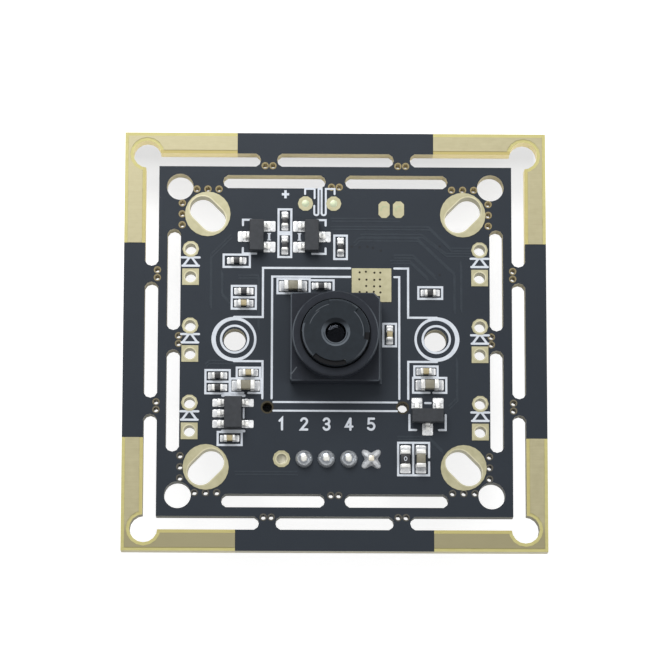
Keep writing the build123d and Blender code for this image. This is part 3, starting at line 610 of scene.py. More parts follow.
# The lenses' dark tint is painted shade of the barrel's inside
LENS_GLASS = glass_material("lens_glass", (0.08, 0.09, 0.11, 1.0))
FILTER_GLASS = glass_material("filter_glass", (0.75, 0.95, 0.98, 1.0))
SENSOR = grain_material("sensor", (22, 26, 30), (34, 42, 46), 0.2, 0.02, 0.0005, specular=0.8)
# The header's nylon has a painted glow, for the light that comes through it
NYLON = grain_material(
    "header_plastic", (208, 206, 199), (220, 218, 211), 0.55, 0.12, 0.006, inner=srgb(214, 213, 207))
PIN = metal_material("header_pin", (206, 200, 184), (228, 222, 206), 0.28, 0.2, 0.002)
LID = metal_material("crystal_metal", (176, 178, 180), (206, 208, 208), 0.34, 0.3, 0.003)
INK = grain_material("legend_ink", (194, 200, 209), (215, 221, 229), 0.6, 0.1, 0.004)
TRACE = grain_material("masked_copper", (46, 52, 59), (53, 60, 67), 0.4, 0.09, 0.003, specular=0.16)
MASKED_HOLE = grain_material("masked_hole", (26, 29, 34), (34, 38, 43), 0.5, 0.05, 0.002, specular=0.2)
HOLE_SHADE = grain_material("hole_painted_shade", (34, 29, 18), (52, 46, 32), 0.7, 0.05, 0.004, specular=0.2)
PERF_LIP = perforation_material()
GLUE = grain_material("glue", (104, 114, 108), (134, 144, 138), 0.3, 0.1, 0.004)


def numbered(name, first, last):
    """Names of the like parts from one number to another."""
    return [f"{name}_{number}" for number in range(first, last + 1)]


FINISHES = (
    (BOARD, ["circuit_board"]),
    (CORNER_GOLD, ["corner_copper"]),
    (GOLD, ["mounting_pads", "led_pads", "free_pin_pad", "ground_pad"]),
    (GOLD, ["microphone_pads", "lamp_supply_pads"]),
    (SOLDER, ["solder_joints", "pin_solder", "back_solder"]),
    (TIN, ["chip_terminals", "transistor_leads", "regulator_leads"]),
    (TIN, ["back_terminals", "controller_leads", "memory_leads"]),
    (GLAZE, ["zero_ohm_link", "back_resistors"] + numbered("resistor", 1, 9)),
    (SMALL_CERAMIC, ["back_capacitors"] + numbered("capacitor", 1, 5)),
    (LARGE_CERAMIC, ["crystal_base"] + numbered("capacitor", 6, 9)),
    (MOULDING, ["regulator", "controller_chip", "memory_chip"] + numbered("transistor", 1, 3)),
    (HOLDER, ["lens_holder"]),
    (BARREL, ["lens_barrel", "lens_spacer", "retaining_ring"]),
    (LENS_GLASS, ["front_lens", "middle_lens", "rear_lens"]),
    (FILTER_GLASS, ["infrared_filter", "sensor_glass"]),
    (SENSOR, ["image_sensor"]),
    (NYLON, ["header_housing"]),
    (PIN, ["header_pins"]),
    (LID, ["crystal_lid"]),
)
for material, names in FINISHES:
    for name in names:
        nodes[name].data.materials.clear()
        nodes[name].data.materials.append(material)


WELD_WITHIN = 0.0005
ROUNDED_OVER = 40  # degrees: sharper bends than this are rounded


def soften(name, width):
    """Rounds the edges of a CAD piece for the picture; the piece itself stays as it is."""
    weld = nodes[name].modifiers.new("weld", "WELD")
    weld.merge_threshold = WELD_WITHIN * MM
    bevel = nodes[name].modifiers.new("edge", "BEVEL")
    bevel.width = width * MM
    bevel.segments = 2
    bevel.limit_method = "ANGLE"
    bevel.angle_limit = radians(ROUNDED_OVER)
    normals = nodes[name].modifiers.new("normals", "WEIGHTED_NORMAL")
    normals.keep_sharp = False


SOFT_EDGES = (
    (0.02, ["back_resistors"] + numbered("resistor", 1, 9)),
    (0.03, ["zero_ohm_link", "controller_chip", "transistor_leads", "regulator_leads", "memory_leads"]),
    (0.04, ["back_capacitors"] + numbered("capacitor", 1, 5)),
    (0.05, ["regulator", "memory_chip", "crystal_base"] + numbered("transistor", 1, 3)),
    (0.06, ["chip_terminals", "back_terminals", "header_pins"]),
    (0.07, numbered("capacitor", 6, 9)),
    (0.08, ["crystal_lid"]),
    (0.1, ["header_housing"]),
)
for width, names in SOFT_EDGES:
    for name in names:
        soften(name, width)


# The header's side that faces the board's edge stands a little further in than on the solid
HOUSING_CUT = 0.5
HOUSING_SIDE = 0.7
housing_low = low("header_housing").y
housing = nodes["header_housing"].copy()
housing.data = nodes["header_housing"].data.copy()
housing.name = "header_shroud"
for vertex in housing.data.vertices:
    if vertex.co.y < (housing_low + HOUSING_SIDE) * MM:
        vertex.co.y += HOUSING_CUT * MM
bpy.context.scene.collection.objects.link(housing)
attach(housing, "root")
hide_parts("header_housing")


# Legend: frames round the chip parts, with the width and height of the lines' middles
legend = Shape("legend")


def ink_block(x, y, half_width, half_height):
    """A filled rectangle of ink round a centre."""
    legend.prism(box_path(x, y, 2 * half_width, 2 * half_height), FACE, ink_height())


def frame_round(names, width, height, bar=0.0):
    """A printed frame round one chip part, or two with a bar between."""
    middles = [centre(name) for name in names]
    x = sum(point.x for point in middles) / len(middles)
    y = sum(point.y for point in middles) / len(middles)
    stroke(legend, box_path(x, y, width, height), closed=True)
    if bar:
        ink_block(x, y, width / 2, bar / 2)


frame_round(["resistor_1", "resistor_2"], 1.15, 4.38, bar=0.38)
frame_round(["resistor_3"], 1.13, 2.15)
frame_round(["resistor_4"], 2.36, 1.13)
frame_round(["resistor_5", "capacitor_1"], 2.16, 2.08, bar=0.2)
frame_round(["resistor_8", "resistor_9"], 2.17, 2.1, bar=0.2)
frame_round(["resistor_7"], 2.14, 1.06)
frame_round(["capacitor_2"], 1.14, 2.04)
frame_round(["capacitor_3"], 2.08, 0.94)
frame_round(["capacitor_4"], 2.14, 1.17)
frame_round(["capacitor_5"], 2.08, 0.98)


def gapped_frame(name, gap_at, gap, width, height):
    """A printed frame whose lower line has a gap."""
    middle = centre(name)
    y0, y1 = middle.y - height / 2, middle.y + height / 2
    x0, x1 = middle.x - width / 2, middle.x + width / 2
    stroke(legend, [(gap_at + gap / 2, y0), (x1, y0), (x1, y1), (x0, y1), (x0, y0), (gap_at - gap / 2, y0)])


gapped_frame("capacitor_7", centre("capacitor_7").x, 0.45, 2.76, 1.29)
gapped_frame("capacitor_8", centre("capacitor_8").x + 0.15, 0.35, 2.97, 1.35)

# Two frames that share an upright line, and how far their lines run from the parts' middles
LEFT_OF_LARGE, OVER_LARGE = 1.4, 0.65
LEFT_OF_SMALL, RIGHT_OF_SMALL, OVER_SMALL, UNDER_SMALL = 1.05, 1.1, 0.54, 0.4
large = centre("capacitor_6")
small = centre("resistor_6")
left, join, right = large.x - LEFT_OF_LARGE, small.x - LEFT_OF_SMALL, small.x + RIGHT_OF_SMALL
stroke(legend, box_path((left + join) / 2, large.y, join - left, 2 * OVER_LARGE), closed=True)
stroke(legend, [(join, small.y + OVER_SMALL), (right, small.y + OVER_SMALL), (right, small.y - UNDER_SMALL)])

# The frame round the link and the capacitor beside it, with a line between them and an opening at the right
LEFT_OF_LINK, RIGHT_OF_PAIR, OVER_LINK, UNDER_LINK = 0.65, 0.73, 1.5, 1.42
OPENING = (-0.25, 0.2)
link = centre("zero_ohm_link")
pair = centre("capacitor_9")
left, right = link.x - LEFT_OF_LINK, pair.x + RIGHT_OF_PAIR
bottom, top = link.y - UNDER_LINK, link.y + OVER_LINK
path = [(right, link.y + OPENING[1]), (right, top), (left, top)]
path += [(left, bottom), (right, bottom), (right, link.y + OPENING[0])]
stroke(legend, path)
middle = (link.x + pair.x) / 2
stroke(legend, [(middle, top), (middle, bottom)])


# Legend: marks of the transistors and the regulator
BRACKET_X = 1.24
BRACKET_Y = 1.55
BRACKET_ARM = 0.5
BRACKET_REACH = {-1: 1.2, 1: 0.75}  # at the lower end and at the upper one
BAR_X = 1.12
BAR_HALF = (0.1, 0.3)
SERIF_HALF = (0.17, 0.04)
for name, side in (("transistor_1", -1), ("transistor_2", 1)):
    body = centre(name)
    x = body.x + side * BRACKET_X
    for end, reach in BRACKET_REACH.items():
        y = body.y + end * BRACKET_Y
        stroke(legend, [(x, y - end * BRACKET_ARM), (x, y), (x - side * reach, y)])
    x = body.x - side * BAR_X
    ink_block(x, body.y, *BAR_HALF)
    for end in (-1, 1):
        ink_block(x, body.y + end * BAR_HALF[1], *SERIF_HALF)

ANGLE_X, ANGLE_Y = 1.62, (-1.2, 0.15)
ANGLE_FOOT = 0.6
DASH_X, DASH_Y = (-0.2, 0.28), 1.23
body = centre("transistor_3")
low_y, high_y = (body.y + y for y in ANGLE_Y)
for side in (-1, 1):
    x = body.x + side * ANGLE_X
    stroke(legend, [(x, high_y), (x, low_y), (x - side * ANGLE_FOOT, low_y)])
stroke(legend, [(body.x + x, body.y + DASH_Y) for x in DASH_X])

ACROSS_X, ACROSS_Y = (-0.95, 1.0), (1.62, -1.58)
BESIDE_X, BESIDE_Y = 0.95, (0.45, -0.4)
body = centre("regulator")
for y in ACROSS_Y:
    stroke(legend, [(body.x + x, body.y + y) for x in ACROSS_X], width=0.24)
stroke(legend, [(body.x + BESIDE_X, body.y + y) for y in BESIDE_Y], width=0.15)


# Legend: lamp symbols between the pads of each lamp
SYMBOL_TOP = 0.5
SYMBOL_H = 0.76
SYMBOL_W = 0.2
BAR_END = 0.8
BASE_END = 0.74
SLOPE_X = (0.1, 0.66)  # the slopes' upper and lower ends
for side in (-1, 1):
    for row in LED_ROWS:
        x = side * LED_X
        bar_y = row + SYMBOL_TOP
        base_y = bar_y - SYMBOL_H
        lines = [((-BAR_END, bar_y), (BAR_END, bar_y)), ((-BASE_END, base_y), (BASE_END, base_y))]
        lines += [((end * SLOPE_X[0], bar_y), (end * SLOPE_X[1], base_y)) for end in (-1, 1)]
        for line in lines:
            stroke(legend, [(x + away, y) for away, y in line], width=SYMBOL_W)


# Legend: the outline of a larger lens mount, with its two screw ears
OUTER_X = (-6.49, 6.56)
OUTER_Y = 6.57
INNER_X = (-5.66, 5.76)
INNER_Y = 5.78
EAR_Y = (-1.94, 2.08)
EARS = ((-9.06, 0.06), (9.14, 0.1))
THIN_RING_R = 1.22
THICK_RING_R = (1.72, 2.02)
RING_SHIFT = (0.06, 0.09)  # to the board's middle, of the thin ring and of the thick one's inner side
PAD_GAP = (1.35, 5.32)
LINE_END = -5.3
LOWER_X = (-5.5, 5.55)
LOWER_Y = (-5.63, -6.41)
for side, outer_x, inner_x, ear, gap in zip((-1, 1), OUTER_X, INNER_X, EARS, PAD_GAP):
    stroke(legend, [(gap, OUTER_Y), (outer_x, OUTER_Y), (outer_x, EAR_Y[1]), (ear[0], EAR_Y[1])])
    stroke(legend, [(ear[0], EAR_Y[0]), (outer_x, EAR_Y[0]), (outer_x, LINE_END)])
    stroke(legend, [(gap, INNER_Y), (inner_x, INNER_Y), (inner_x, LINE_END)])
    stroke(legend, circle(ear[0] - side * RING_SHIFT[0], ear[1], THIN_RING_R), width=0.2, closed=True)
    inner = circle(ear[0] - side * RING_SHIFT[1], ear[1], THICK_RING_R[0], 48)
    legend.frame(circle(*ear, THICK_RING_R[1], 48), inner, FACE, ink_height())
for y in LOWER_Y:
    stroke(legend, [(x, y) for x in LOWER_X], width=0.17)


# Legend: the serpentine and the plus sign of the microphone
SERPENTINE_TOP = 13.86
SERPENTINE_W = 0.17
HOOK_END = 13.38
BEND_Y = 11.62
BEND_R = 0.19
path = [(-2.73, HOOK_END), (-2.73, SERPENTINE_TOP), (-1.87, SERPENTINE_TOP), (-1.87, 13.0)]
stroke(legend, path, width=SERPENTINE_W)
path = [(-1.9, 12.3)] + arc(-1.9 + BEND_R, BEND_Y, BEND_R, 180, 360, 8)
path += [(-1.52, SERPENTINE_TOP), (-1.24, SERPENTINE_TOP)]
path += arc(-1.24 + BEND_R, BEND_Y, BEND_R, 180, 360, 8)
path += [(-0.86, SERPENTINE_TOP), (-0.07, SERPENTINE_TOP), (-0.07, HOOK_END)]
stroke(legend, path, width=SERPENTINE_W)
PLUS = (-4.5, 13.35)
ink_block(*PLUS, 0.11, 0.37)
ink_block(*PLUS, 0.33, 0.11)


# Legend: plain numbers over the header's pins, drawn as strokes in a box one unit wide and 1.6 high
NUMBER_Y = -8.1
NUMBER_H = 1.0
NUMBER_W = 0.2
UNIT = NUMBER_H / 1.6


def digit(number, x):
    """A plain numeral as ink, in the middle over a pin."""
    bowl = arc(0.5, 1.2, 0.4, 160, -90, 10)
    glyphs = {
        1: [[(0.2, 1.25), (0.55, 1.6), (0.55, 0.0)]],
        2: [arc(0.5, 1.18, 0.42, 165, -30, 10) + [(0.08, 0.0), (0.95, 0.0)]],
        3: [bowl, arc(0.5, 0.4, 0.42, 100, -160, 12)],
        4: [[(0.72, 0.0), (0.72, 1.6)], [(0.66, 1.56), (0.08, 0.45), (1.0, 0.45)]],
        5: [[(0.88, 1.6), (0.16, 1.6), (0.12, 0.92)] + arc(0.46, 0.5, 0.48, 110, -150, 12)],
    }
    for path in glyphs[number]:
        stroke(legend, [(x + (px - 0.5) * UNIT, NUMBER_Y + py * UNIT) for px, py in path], width=NUMBER_W)


for number, x in enumerate(PIN_X, start=1):
    digit(number, x)

legend.finish(INK)

# The figure on the zero-ohm link
marking = Shape("link_marking")
top = high("zero_ohm_link").z
outer = oval(link.x, link.y, 0.15, 0.2, 24)
inner = oval(link.x, link.y, 0.09, 0.13, 24)
marking.frame(outer, inner, top - 0.01, top + 0.012)
marking.finish(INK)


# Solder, smooth and hollow on its slopes
joints = Shape("smooth_solder")
MOUND_STEPS = 7
EAST, WEST = Vector((1, 0, 0)), Vector((-1, 0, 0))
NORTH, SOUTH = Vector((0, 1, 0)), Vector((0, -1, 0))


def mound(shape, middle, along, start, reach, spread, top):
    """A slope of solder that falls from a part's end, hollow along its length and round at its sides."""
    side = Vector((-along.y, along.x, 0))

    def point(u, v, z):
        level = Vector((middle.x, middle.y, FACE + z))
        return level + along * (start + reach * u) + side * (spread / 2 * v)

    grid = []
    for i in range(MOUND_STEPS + 1):
        u = i / MOUND_STEPS
        row = []
        for j in range(-MOUND_STEPS, MOUND_STEPS + 1):
            v = j / MOUND_STEPS
            fall = (1 - u) ** 1.7 * (1 - abs(v) ** 5) * (1 - 0.15 * v * v)
            row.append(point(u, v * (1 - 0.12 * u * u), CHIP_GAP + (top - CHIP_GAP) * fall))
        grid.append(row)
    verts = [[shape.mesh.verts.new(p * MM) for p in row] for row in grid]
    for a, b in zip(verts, verts[1:]):
        for i in range(len(a) - 1):
            shape.mesh.faces.new((a[i], a[i + 1], b[i + 1], b[i]))
    rim = verts[0] + [row[-1] for row in verts[1:]] + verts[-1][::-1][1:] + [row[0] for row in verts[-2:0:-1]]
    floor = [shape.mesh.verts.new((vert.co.x, vert.co.y, (FACE + CHIP_GAP / 2) * MM)) for vert in rim]
    shape.band(floor, rim)
    shape.mesh.faces.new(floor)


def plate(shape, middle, along, start, end, spread):
    """The wetted pad under one end of a part, with cut corners."""
    side = Vector((-along.y, along.x, 0))
    cut = 0.06
    w = spread / 2
    flat = [(start, -w), (end - cut, -w), (end, cut - w), (end, w - cut), (end - cut, w), (start, w)]
    loops = []
    for z in (0.0, CHIP_GAP):
        loops.append([Vector((middle.x, middle.y, FACE + z)) + along * a + side * b for a, b in flat])
    shape.solid(*loops)


def chip_joints(name, size, fillet):
    """Both joints of one chip part; size is length, cap and solder height, fillet is reach and spread."""
    along = NORTH if name in UPRIGHT_CHIPS else EAST
    length, cap, top = size
    reach, spread = fillet
    for sign in (-1, 1):
        plate(joints, centre(name), along * sign, length / 2 - cap, length / 2 + reach, spread)
        mound(joints, centre(name), along * sign, length / 2, reach, spread, top)


UPRIGHT_CHIPS = ("resistor_1", "resistor_2", "resistor_3", "zero_ohm_link", "capacitor_2", "capacitor_9")
SMALL_FILLET = (0.36, 0.6)
LARGE_FILLET = (0.45, 0.92)
CHIP_KINDS = (
    (numbered("resistor", 1, 9), (1.0, 0.25, 0.3), SMALL_FILLET),
    (numbered("capacitor", 1, 5), (1.0, 0.25, 0.42), SMALL_FILLET),
    (numbered("capacitor", 6, 9), (1.6, 0.38, 0.66), LARGE_FILLET),
    (["zero_ohm_link"], (1.6, 0.35, 0.4), LARGE_FILLET),
)
for names, size, fillet in CHIP_KINDS:
    for name in names:
        chip_joints(name, size, fillet)

# Leads: the package, the way its side faces, the leads' places along it, its width and the solder's spread
LEAD_PITCH = 0.95
ONE = (0.0,)
TWO = (-LEAD_PITCH, LEAD_PITCH)
THREE = (-LEAD_PITCH, 0.0, LEAD_PITCH)
TRANSISTOR = (1.3, 0.95)
REGULATOR = (1.6, 0.7)
LEAD_ROWS = []
for name, out in (("transistor_1", WEST), ("transistor_2", EAST), ("transistor_3", SOUTH)):
    LEAD_ROWS += [(name, out, ONE, TRANSISTOR), (name, -out, TWO, TRANSISTOR)]
LEAD_ROWS += [("regulator", WEST, THREE, REGULATOR), ("regulator", EAST, TWO, REGULATOR)]
LEAD_REACH = 0.6
LEAD_FOOT = 0.34
LEAD_FILLET = 0.44
LEAD_TOP = 0.19
LEAD_HALF = 0.21
for name, out, places, (width, spread) in LEAD_ROWS:
    along = Vector((-out.y, out.x, 0))
    for place in places:
        foot = centre(name) + along * place
        tip = width / 2 + LEAD_REACH
        plate(joints, foot, out, width / 2 - 0.02, tip + LEAD_FILLET, spread)
        mound(joints, foot, out, tip - 0.02, LEAD_FILLET, spread, LEAD_TOP)
        for side in (-1, 1):
            edge = foot + along * side * LEAD_HALF + out * (tip - LEAD_FOOT / 2)
            mound(joints, edge, along * side, 0, spread / 2 - LEAD_HALF, LEAD_FOOT, LEAD_TOP * 0.8)
solder_piece = joints.finish(SOLDER, smooth=True)
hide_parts("solder_joints")

# Domes of solder on the header's pins; the last one runs out along the spokes of its pad
domes = Shape("smooth_pin_solder")
DOME_R = 0.78
DOME_H = 0.72
DOME_SHARE = 0.42  # radius of the flat top, as a share of the dome's
DOME_STEPS = 10
PIN_TIP = ((0.2, 0.04), (0, 0.05))  # radius, and height over the dome
for x in PIN_X[1:-1]:
    profile = [(0, FACE), (DOME_R, FACE)]
    for i in range(1, DOME_STEPS + 1):
        angle = pi / 2 * i / DOME_STEPS
        radius = DOME_R * (DOME_SHARE + (1 - DOME_SHARE) * cos(angle) ** 1.2)
        profile.append((radius, FACE + DOME_H * sin(angle) ** 0.9))
    profile += [(radius, FACE + DOME_H + z) for radius, z in PIN_TIP]
    domes.lathe(profile, x, PIN_Y, sides=40)
SPOKE_R = 1.12
WAIST_R = 0.6
STAR_SIDES = 64
# Share of the star's reach, and height: first with its full spokes, then where it is nearly round
STAR_STEPS = ((1.0, 0.0), (0.97, 0.08), (0.88, 0.17), (0.76, 0.27), (0.62, 0.39))
ROUND_STEPS = ((0.58, 0.5), (0.44, 0.62), (0.28, 0.7), (0.16, 0.73))


def star_loop(share, z, spread):
    """One level of the star; spread is how much of the spokes' reach past the waist is left."""
    loop = []
    for i in range(STAR_SIDES):
        angle = 2 * pi * i / STAR_SIDES
        radius = share * (WAIST_R + spread * (SPOKE_R - WAIST_R) * abs(sin(2 * angle)) ** 2.4)
        loop.append((PIN_X[-1] + radius * cos(angle), PIN_Y + radius * sin(angle), FACE + z))
    return loop


pin_piece = domes.finish(PIN_SOLDER, smooth=True)
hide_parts("pin_solder")
star = Shape("last_pin_solder")
star_loops = [star_loop(share, z, 1.0) for share, z in STAR_STEPS]
star_loops += [star_loop(share, z, 0.25) for share, z in ROUND_STEPS]
star.solid(*star_loops)
star.finish(STAR_SOLDER, smooth=True)

# Solder that has sunk into the first pin's hole
sunk = Shape("first_pin_solder")
SUNK_STEPS = ((0, 0.6), (PIN_HOLE_R, 0.6), (PIN_HOLE_R, 0.05), (0.3, 0.16), (0, 0.1))  # radius, depth
sunk.lathe([(radius, FACE - depth) for radius, depth in SUNK_STEPS], PIN_X[0], PIN_Y, 28)
sunk.finish(SUNK_SOLDER, smooth=True)

# Plating in the round holes and the slotted ones, with the lip that it turns on the front face
plating = Shape("plated_holes")
LIP_W = 0.09
LIP_TOP = GOLD_TOP + 0.012
PLATING_T = 0.02
ROUND_GAP = 0.03  # keeps the plating inside the solid's many-sided holes
SLOT_GAP = 0.012


def plated_hole(outline_at, radius):
    """A plated tube through the board, and its lip; outline_at gives the hole's outline at a radius."""
    inner = outline_at(radius - PLATING_T)
    plating.frame(outline_at(radius), inner, 0.0, LIP_TOP - 0.004)
    plating.frame(outline_at(radius + LIP_W), inner, GOLD_TOP - 0.004, LIP_TOP)


for side in (-1, 1):
    for row in LED_ROWS:
        for end in (-1, 1):
            y = row + end * LED_PITCH / 2
            plated_hole(lambda r: circle(side * LED_X, y, r, 36), LED_HOLE_R - ROUND_GAP)
plated_hole(lambda r: circle(PIN_X[0], PIN_Y, r, 36), PIN_HOLE_R - ROUND_GAP)


def slotted_outline(sx, sy, radius):
    """Outline of a slotted screw hole, whose long axis points at the board's middle."""
    turn = 45 if sx * sy > 0 else 135
    run = (SLOTTED_L - SLOTTED_W) / 2
    dx, dy = run * cos(radians(turn)), run * sin(radians(turn))
    x, y = sx * SLOTTED, sy * SLOTTED
    inner_end = arc(x + dx, y + dy, radius, turn - 90, turn + 90, 20)
    return inner_end + arc(x - dx, y - dy, radius, turn + 90, turn + 270, 20)


for sx in (-1, 1):
    for sy in (-1, 1):
        plated_hole(lambda r: slotted_outline(sx, sy, r), SLOTTED_W / 2 - SLOT_GAP)
plating.finish(LIP_GOLD, smooth=True)

# Bare rims of the perforations, with painted shade and a painted glow
rims = Shape("perforation_rims")
PERF_RIM = (0.225, 0.33)
PERF_WALL = (PERF_R - 0.015, PERF_R + 0.01)
PERF_RIM_T = 0.1
CORNER_PERF_PITCH = 1.0
CORNER_PERF_INSET = 0.1
TAB_PERF_HALF = 0.35
TAB_AT = 6.0
OUTER_LINE = RIM_INNER - SLOT_W / 2
INNER_LINE = OUTER_LINE - SLOT_W - WEB_W
INNER_EDGE = INNER_LINE - SLOT_W / 2
perforations = []
for step in (-CORNER_PERF_PITCH, 0, CORNER_PERF_PITCH):
    edge = INNER_EDGE - CORNER_PERF_INSET
    perforations += [(SLOTTED + step, edge), (edge, SLOTTED + step)]
perforations = [(sx * x, sy * y) for x, y in perforations for sx in (-1, 1) for sy in (-1, 1)]
for step in (-TAB_PERF_HALF, TAB_PERF_HALF):
    for sign in (-1, 1):
        edge = INNER_EDGE + PERF_R / 2
        perforations += [(step, sign * edge), (sign * edge, step)]
        edge = OUTER_LINE - SLOT_W / 2 + PERF_R / 3
        for tab in (-TAB_AT, TAB_AT):
            perforations += [(tab + step, sign * edge), (sign * edge, tab + step)]
for x, y in perforations:
    for (inner, outer), z0, z1 in (
        (PERF_RIM, FACE - PERF_RIM_T, FACE + 0.012),
        (PERF_WALL, 0.0, FACE - PERF_RIM_T),
    ):
        rims.frame(circle(x, y, outer, 20), circle(x, y, inner, 20), z0, z1)
rims.finish(PERF_LIP, smooth=True)

# Small holes in the ground pad, shown as dark discs of painted shade
vias = Shape("ground_pad_vias")
VIA_X = (2.2, 2.82, 3.5, 4.04)
VIA_Y = (6.2, 5.53, 4.92, 4.4)
VIA_SHIFT = (
    (0.0, -0.06, 0.03, 0.02),
    (-0.03, 0.0, 0.02, -0.02),
    (0.02, -0.03, 0.0, 0.0),
    (0.0, 0.02, -0.03, 0.03),
)
VIA_R = 0.1
NO_VIA = (0, 2)  # the column and row where the photo shows none
for column, x in enumerate(VIA_X):
    for row, y in enumerate(VIA_Y):
        if (column, row) != NO_VIA:
            shift = VIA_SHIFT[row][column]
            vias.prism(circle(x + shift, y - shift, VIA_R, 14), GOLD_TOP - 0.01, GOLD_TOP + 0.004)
vias.finish(HOLE_SHADE)

# Filled holes in the microphone's pads, and the marks on the oval ones
dimples = Shape("pad_dimples")
pads = centre("microphone_pads")
dimple = [(0, GOLD_TOP + 0.03), (0.3, GOLD_TOP + 0.02), (0.36, GOLD_TOP - 0.01), (0, GOLD_TOP - 0.01)]
for side in (-1, 1):
    dimples.lathe(dimple, pads.x + side * MICROPHONE_PITCH / 2, pads.y, 24)
dimples.finish(DIMPLE_FILL, smooth=True)
oval_marks = Shape("oval_marks")
oval_y = centre("lamp_supply_pads").y
for x in OVAL_PAD_X:
    stroke(oval_marks, arc(x + 0.05, oval_y, 0.3, 60, 200, 10), width=0.1, top=GOLD_TOP + 0.01)
oval_marks.finish(PAD_FILL, smooth=True)

# Copper under the solder mask: raised lines that barely show, and the small filled holes between them
TRACE_TOP = FACE + 0.012
TRACE_W = 0.13
TRACE_PITCH = 0.26
TRACES = (
    [(-0.4, 11.15), (5.7, 11.15)],
    [(-0.4, 10.4), (8.44, 10.4), (10.4, 8.46), (12.2, 8.46)],
    [(2.3, 9.7), (7.8, 9.7), (9.96, 7.97), (12.2, 7.97)],
    [(1.7, 8.95), (2.1, 9.35), (7.4, 9.35), (10.7, 6.2), (10.7, 2.8)],
    [(5.3, 7.8), (7.0, 7.8), (9.0, 5.9)],
    [(5.0, 7.3), (6.7, 7.3), (8.3, 5.8)],
    [(11.3, 7.2), (11.3, 2.9)],
    [(-9.4, 9.6), (-11.2, 7.8), (-11.2, 3.2)],
    [(-10.2, 6.3), (-10.2, 4.3), (-9.6, 3.6)],
    [(-8.7, 5.9), (-6.9, 5.9), (-6.9, 1.2)],
    [(-9.0, -1.9), (-11.3, -1.9), (-11.6, -2.2)],
    [(10.9, -1.6), (10.9, -5.2), (10.2, -5.9)],
    [(-8.9, -11.9), (-3.4, -11.9)],
    [(5.6, -8.7), (8.4, -8.7), (9.6, -9.9)],
)
traces = Shape("masked_traces")
for path in TRACES:
    for shift, top in ((0.0, TRACE_TOP), (TRACE_PITCH, TRACE_TOP + 0.002)):
        stroke(traces, [(x + shift * 0.3, y - shift) for x, y in path], width=TRACE_W, top=top)
traces.finish(TRACE)

FILLED_R = 0.12
FILLED_HOLES = (
    (0.9, 8.5), (1.5, 8.55), (2.2, 8.5), (2.9, 8.55), (3.4, 8.45), (4.1, 8.2), (9.4, 8.6), (9.4, 6.0),
)
filled = Shape("masked_vias")
for x, y in FILLED_HOLES:
    filled.prism(circle(x, y, FILLED_R, 14), FACE - 0.005, FACE + 0.006)
filled.finish(MASKED_HOLE)

# A drop of thread lock between the barrel and its collar
drop = Shape("thread_lock")
DROP = (0.88, -2.37)
drop_top = BARREL_TOP - 0.1
DROP_STEPS = ((0, 0.0), (0.1, 0.015), (0.15, 0.06), (0, 0.08))  # radius, depth
drop.lathe([(radius, drop_top - depth) for radius, depth in DROP_STEPS], *DROP, 18)
drop.finish(GLUE, smooth=True)

# Painted highlights on the edges of the barrel's notches, as light strips: radius, and the angles where they
# start and end
NOTCH_HIGHLIGHT_ARCS = ((2.4, 128, 162), (2.545, 104, 134), (2.45, -8, 48))
edges = Shape("barrel_edge_highlights")
for radius, start, end in NOTCH_HIGHLIGHT_ARCS:
    path = arc(0, 0, radius, start, end, 16)
    stroke(edges, path, width=0.055, top=BARREL_TOP + 0.006, base=BARREL_TOP - 0.02)
edges.finish(HIGHLIGHT_AND_MARK_PLASTIC)

# A fillet of glue at the holder's right side, in lighter plastic that paints the highlight on its slope
glue = Shape("holder_glue")
GLUE_SPAN = (-3.95, 3.5)
GLUE_W = 0.19
GLUE_H = 0.55
wedge = ((HOLDER_HALF - 0.02, FACE), (HOLDER_HALF + GLUE_W, FACE), (HOLDER_HALF - 0.02, FACE + GLUE_H))
glue.solid(*([(x, y, z) for x, z in wedge] for y in GLUE_SPAN))
glue.finish(HIGHLIGHT_AND_MARK_PLASTIC)

# A mark on the base's lower left corner
HOLDER_BASE = FACE + HOLDER_BASE_H
mark = Shape("holder_mark")
stroke(mark, [(-3.93, -3.44), (-3.45, -2.8)], width=0.1, top=HOLDER_BASE + 0.01, base=HOLDER_BASE - 0.02)
mark.finish(HIGHLIGHT_AND_MARK_PLASTIC)

# Stage
floor_z = low("header_housing").z - 0.02
PAPER_GLOW = 0.84
BOARD_SHADE = (0.03, 0.62)  # painted shadow: how much less the paper glows under the board, below and above
SHADE_FROM, SHADE_TO = 12.0, 18.5


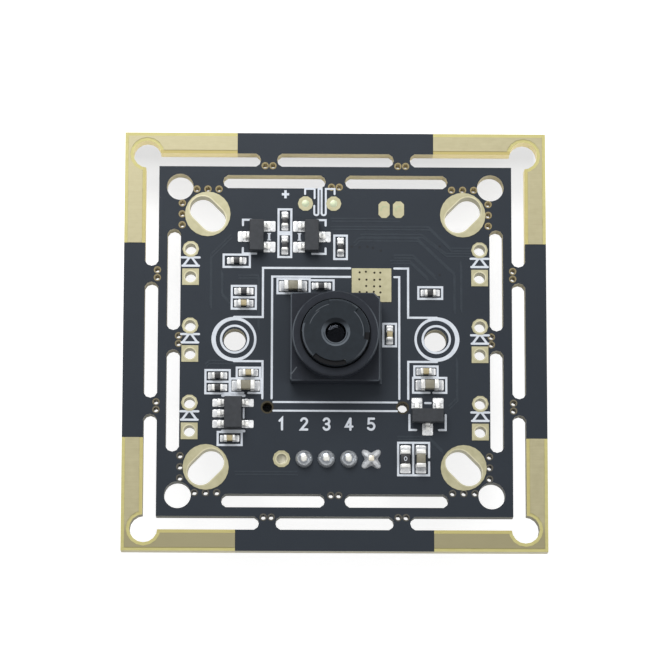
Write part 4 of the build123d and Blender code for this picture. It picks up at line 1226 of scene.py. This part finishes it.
def stage_material(name):
    """White paper: it takes the object's shadow, carries a painted shadow under the board, and shows white to
    the camera, in gloss and through glass.
    """
    n = surface(name)
    place = n.parts()
    x, y = (n.math("ABSOLUTE", place[i]) for i in (0, 1))
    under = n.times(inside(n, x, BOARD_HALF - 0.1, 0.5), inside(n, y, BOARD_HALF + 0.9, 0.4))
    shade = n.times(under, n.ramp(place[1], SHADE_FROM * MM, SHADE_TO * MM, *BOARD_SHADE))
    glow = n.times(seen_directly(n), n.math("SUBTRACT", PAPER_GLOW, shade))
    n.set(Emission_Color=srgb(255, 255, 255), Emission_Strength=glow)
    return n.set(Base_Color=srgb(180, 180, 181), Roughness=0.9)


paper = bpy.data.meshes.new("floor")
PAPER_SIDE = 6000.0
corners = [Vector((x, y, floor_z)) * MM for x, y in box_path(0, 0, PAPER_SIDE, PAPER_SIDE)]
paper.from_pydata(corners, [], [(0, 1, 2, 3)])
paper.materials.append(stage_material("paper"))
floor = new_object("floor", paper)

# Light: an even sky, which the camera, metal and glass see as white, and soft boxes above
SKY = 0.4
sky = Nodes(bpy.data.worlds.new("sky"), "Background")
sky.set(Color=(1.0, 1.0, 1.0, 1.0), Strength=sky.ramp(seen_directly(sky), 0.0, 1.0, SKY, 1.0))
bpy.context.scene.world = sky.owner


def soft_box(name, place, size, power):
    """A square lamp that faces the object's middle."""
    lamp = bpy.data.lights.new(name, "AREA")
    lamp.shape = "SQUARE"
    lamp.size = size * MM
    lamp.energy = power
    holder = new_object(name, lamp)
    holder.location = Vector(place) * MM
    holder.rotation_euler = (-holder.location).to_track_quat("-Z", "Y").to_euler()


soft_box("key", (-30, 95, 110), 90, 0.19)
soft_box("fill", (200, -60, 220), 140, 0.16)

# Camera: it looks down on the board from slightly below it, as the photograph does
PHOTO_W = 669
FOCAL_PX = 3576.0
SENSOR_MM = 36.0
DISTANCE = 320.77
TILT, PAN, ROLL = (radians(angle) for angle in (9.946, -0.828, 0.12))
AIM = Vector((-0.05, 0.885, FACE))
camera = bpy.data.cameras.new("camera")
camera.sensor_width = SENSOR_MM
camera.lens = FOCAL_PX * SENSOR_MM / PHOTO_W
camera.clip_start = 0.01
camera.clip_end = 20.0
viewer = new_object("camera", camera)
back = Vector((sin(PAN) * cos(TILT), -sin(TILT), cos(PAN) * cos(TILT))).normalized()
across = Vector((0, 1, 0)).cross(back).normalized()
upward = back.cross(across)
right = across * cos(ROLL) + upward * sin(ROLL)
viewer.location = (AIM + back * DISTANCE) * MM
viewer.rotation_euler = Matrix((right, back.cross(right), back)).transposed().to_euler()
bpy.context.scene.camera = viewer

bpy.context.scene.view_settings.view_transform = "Standard"
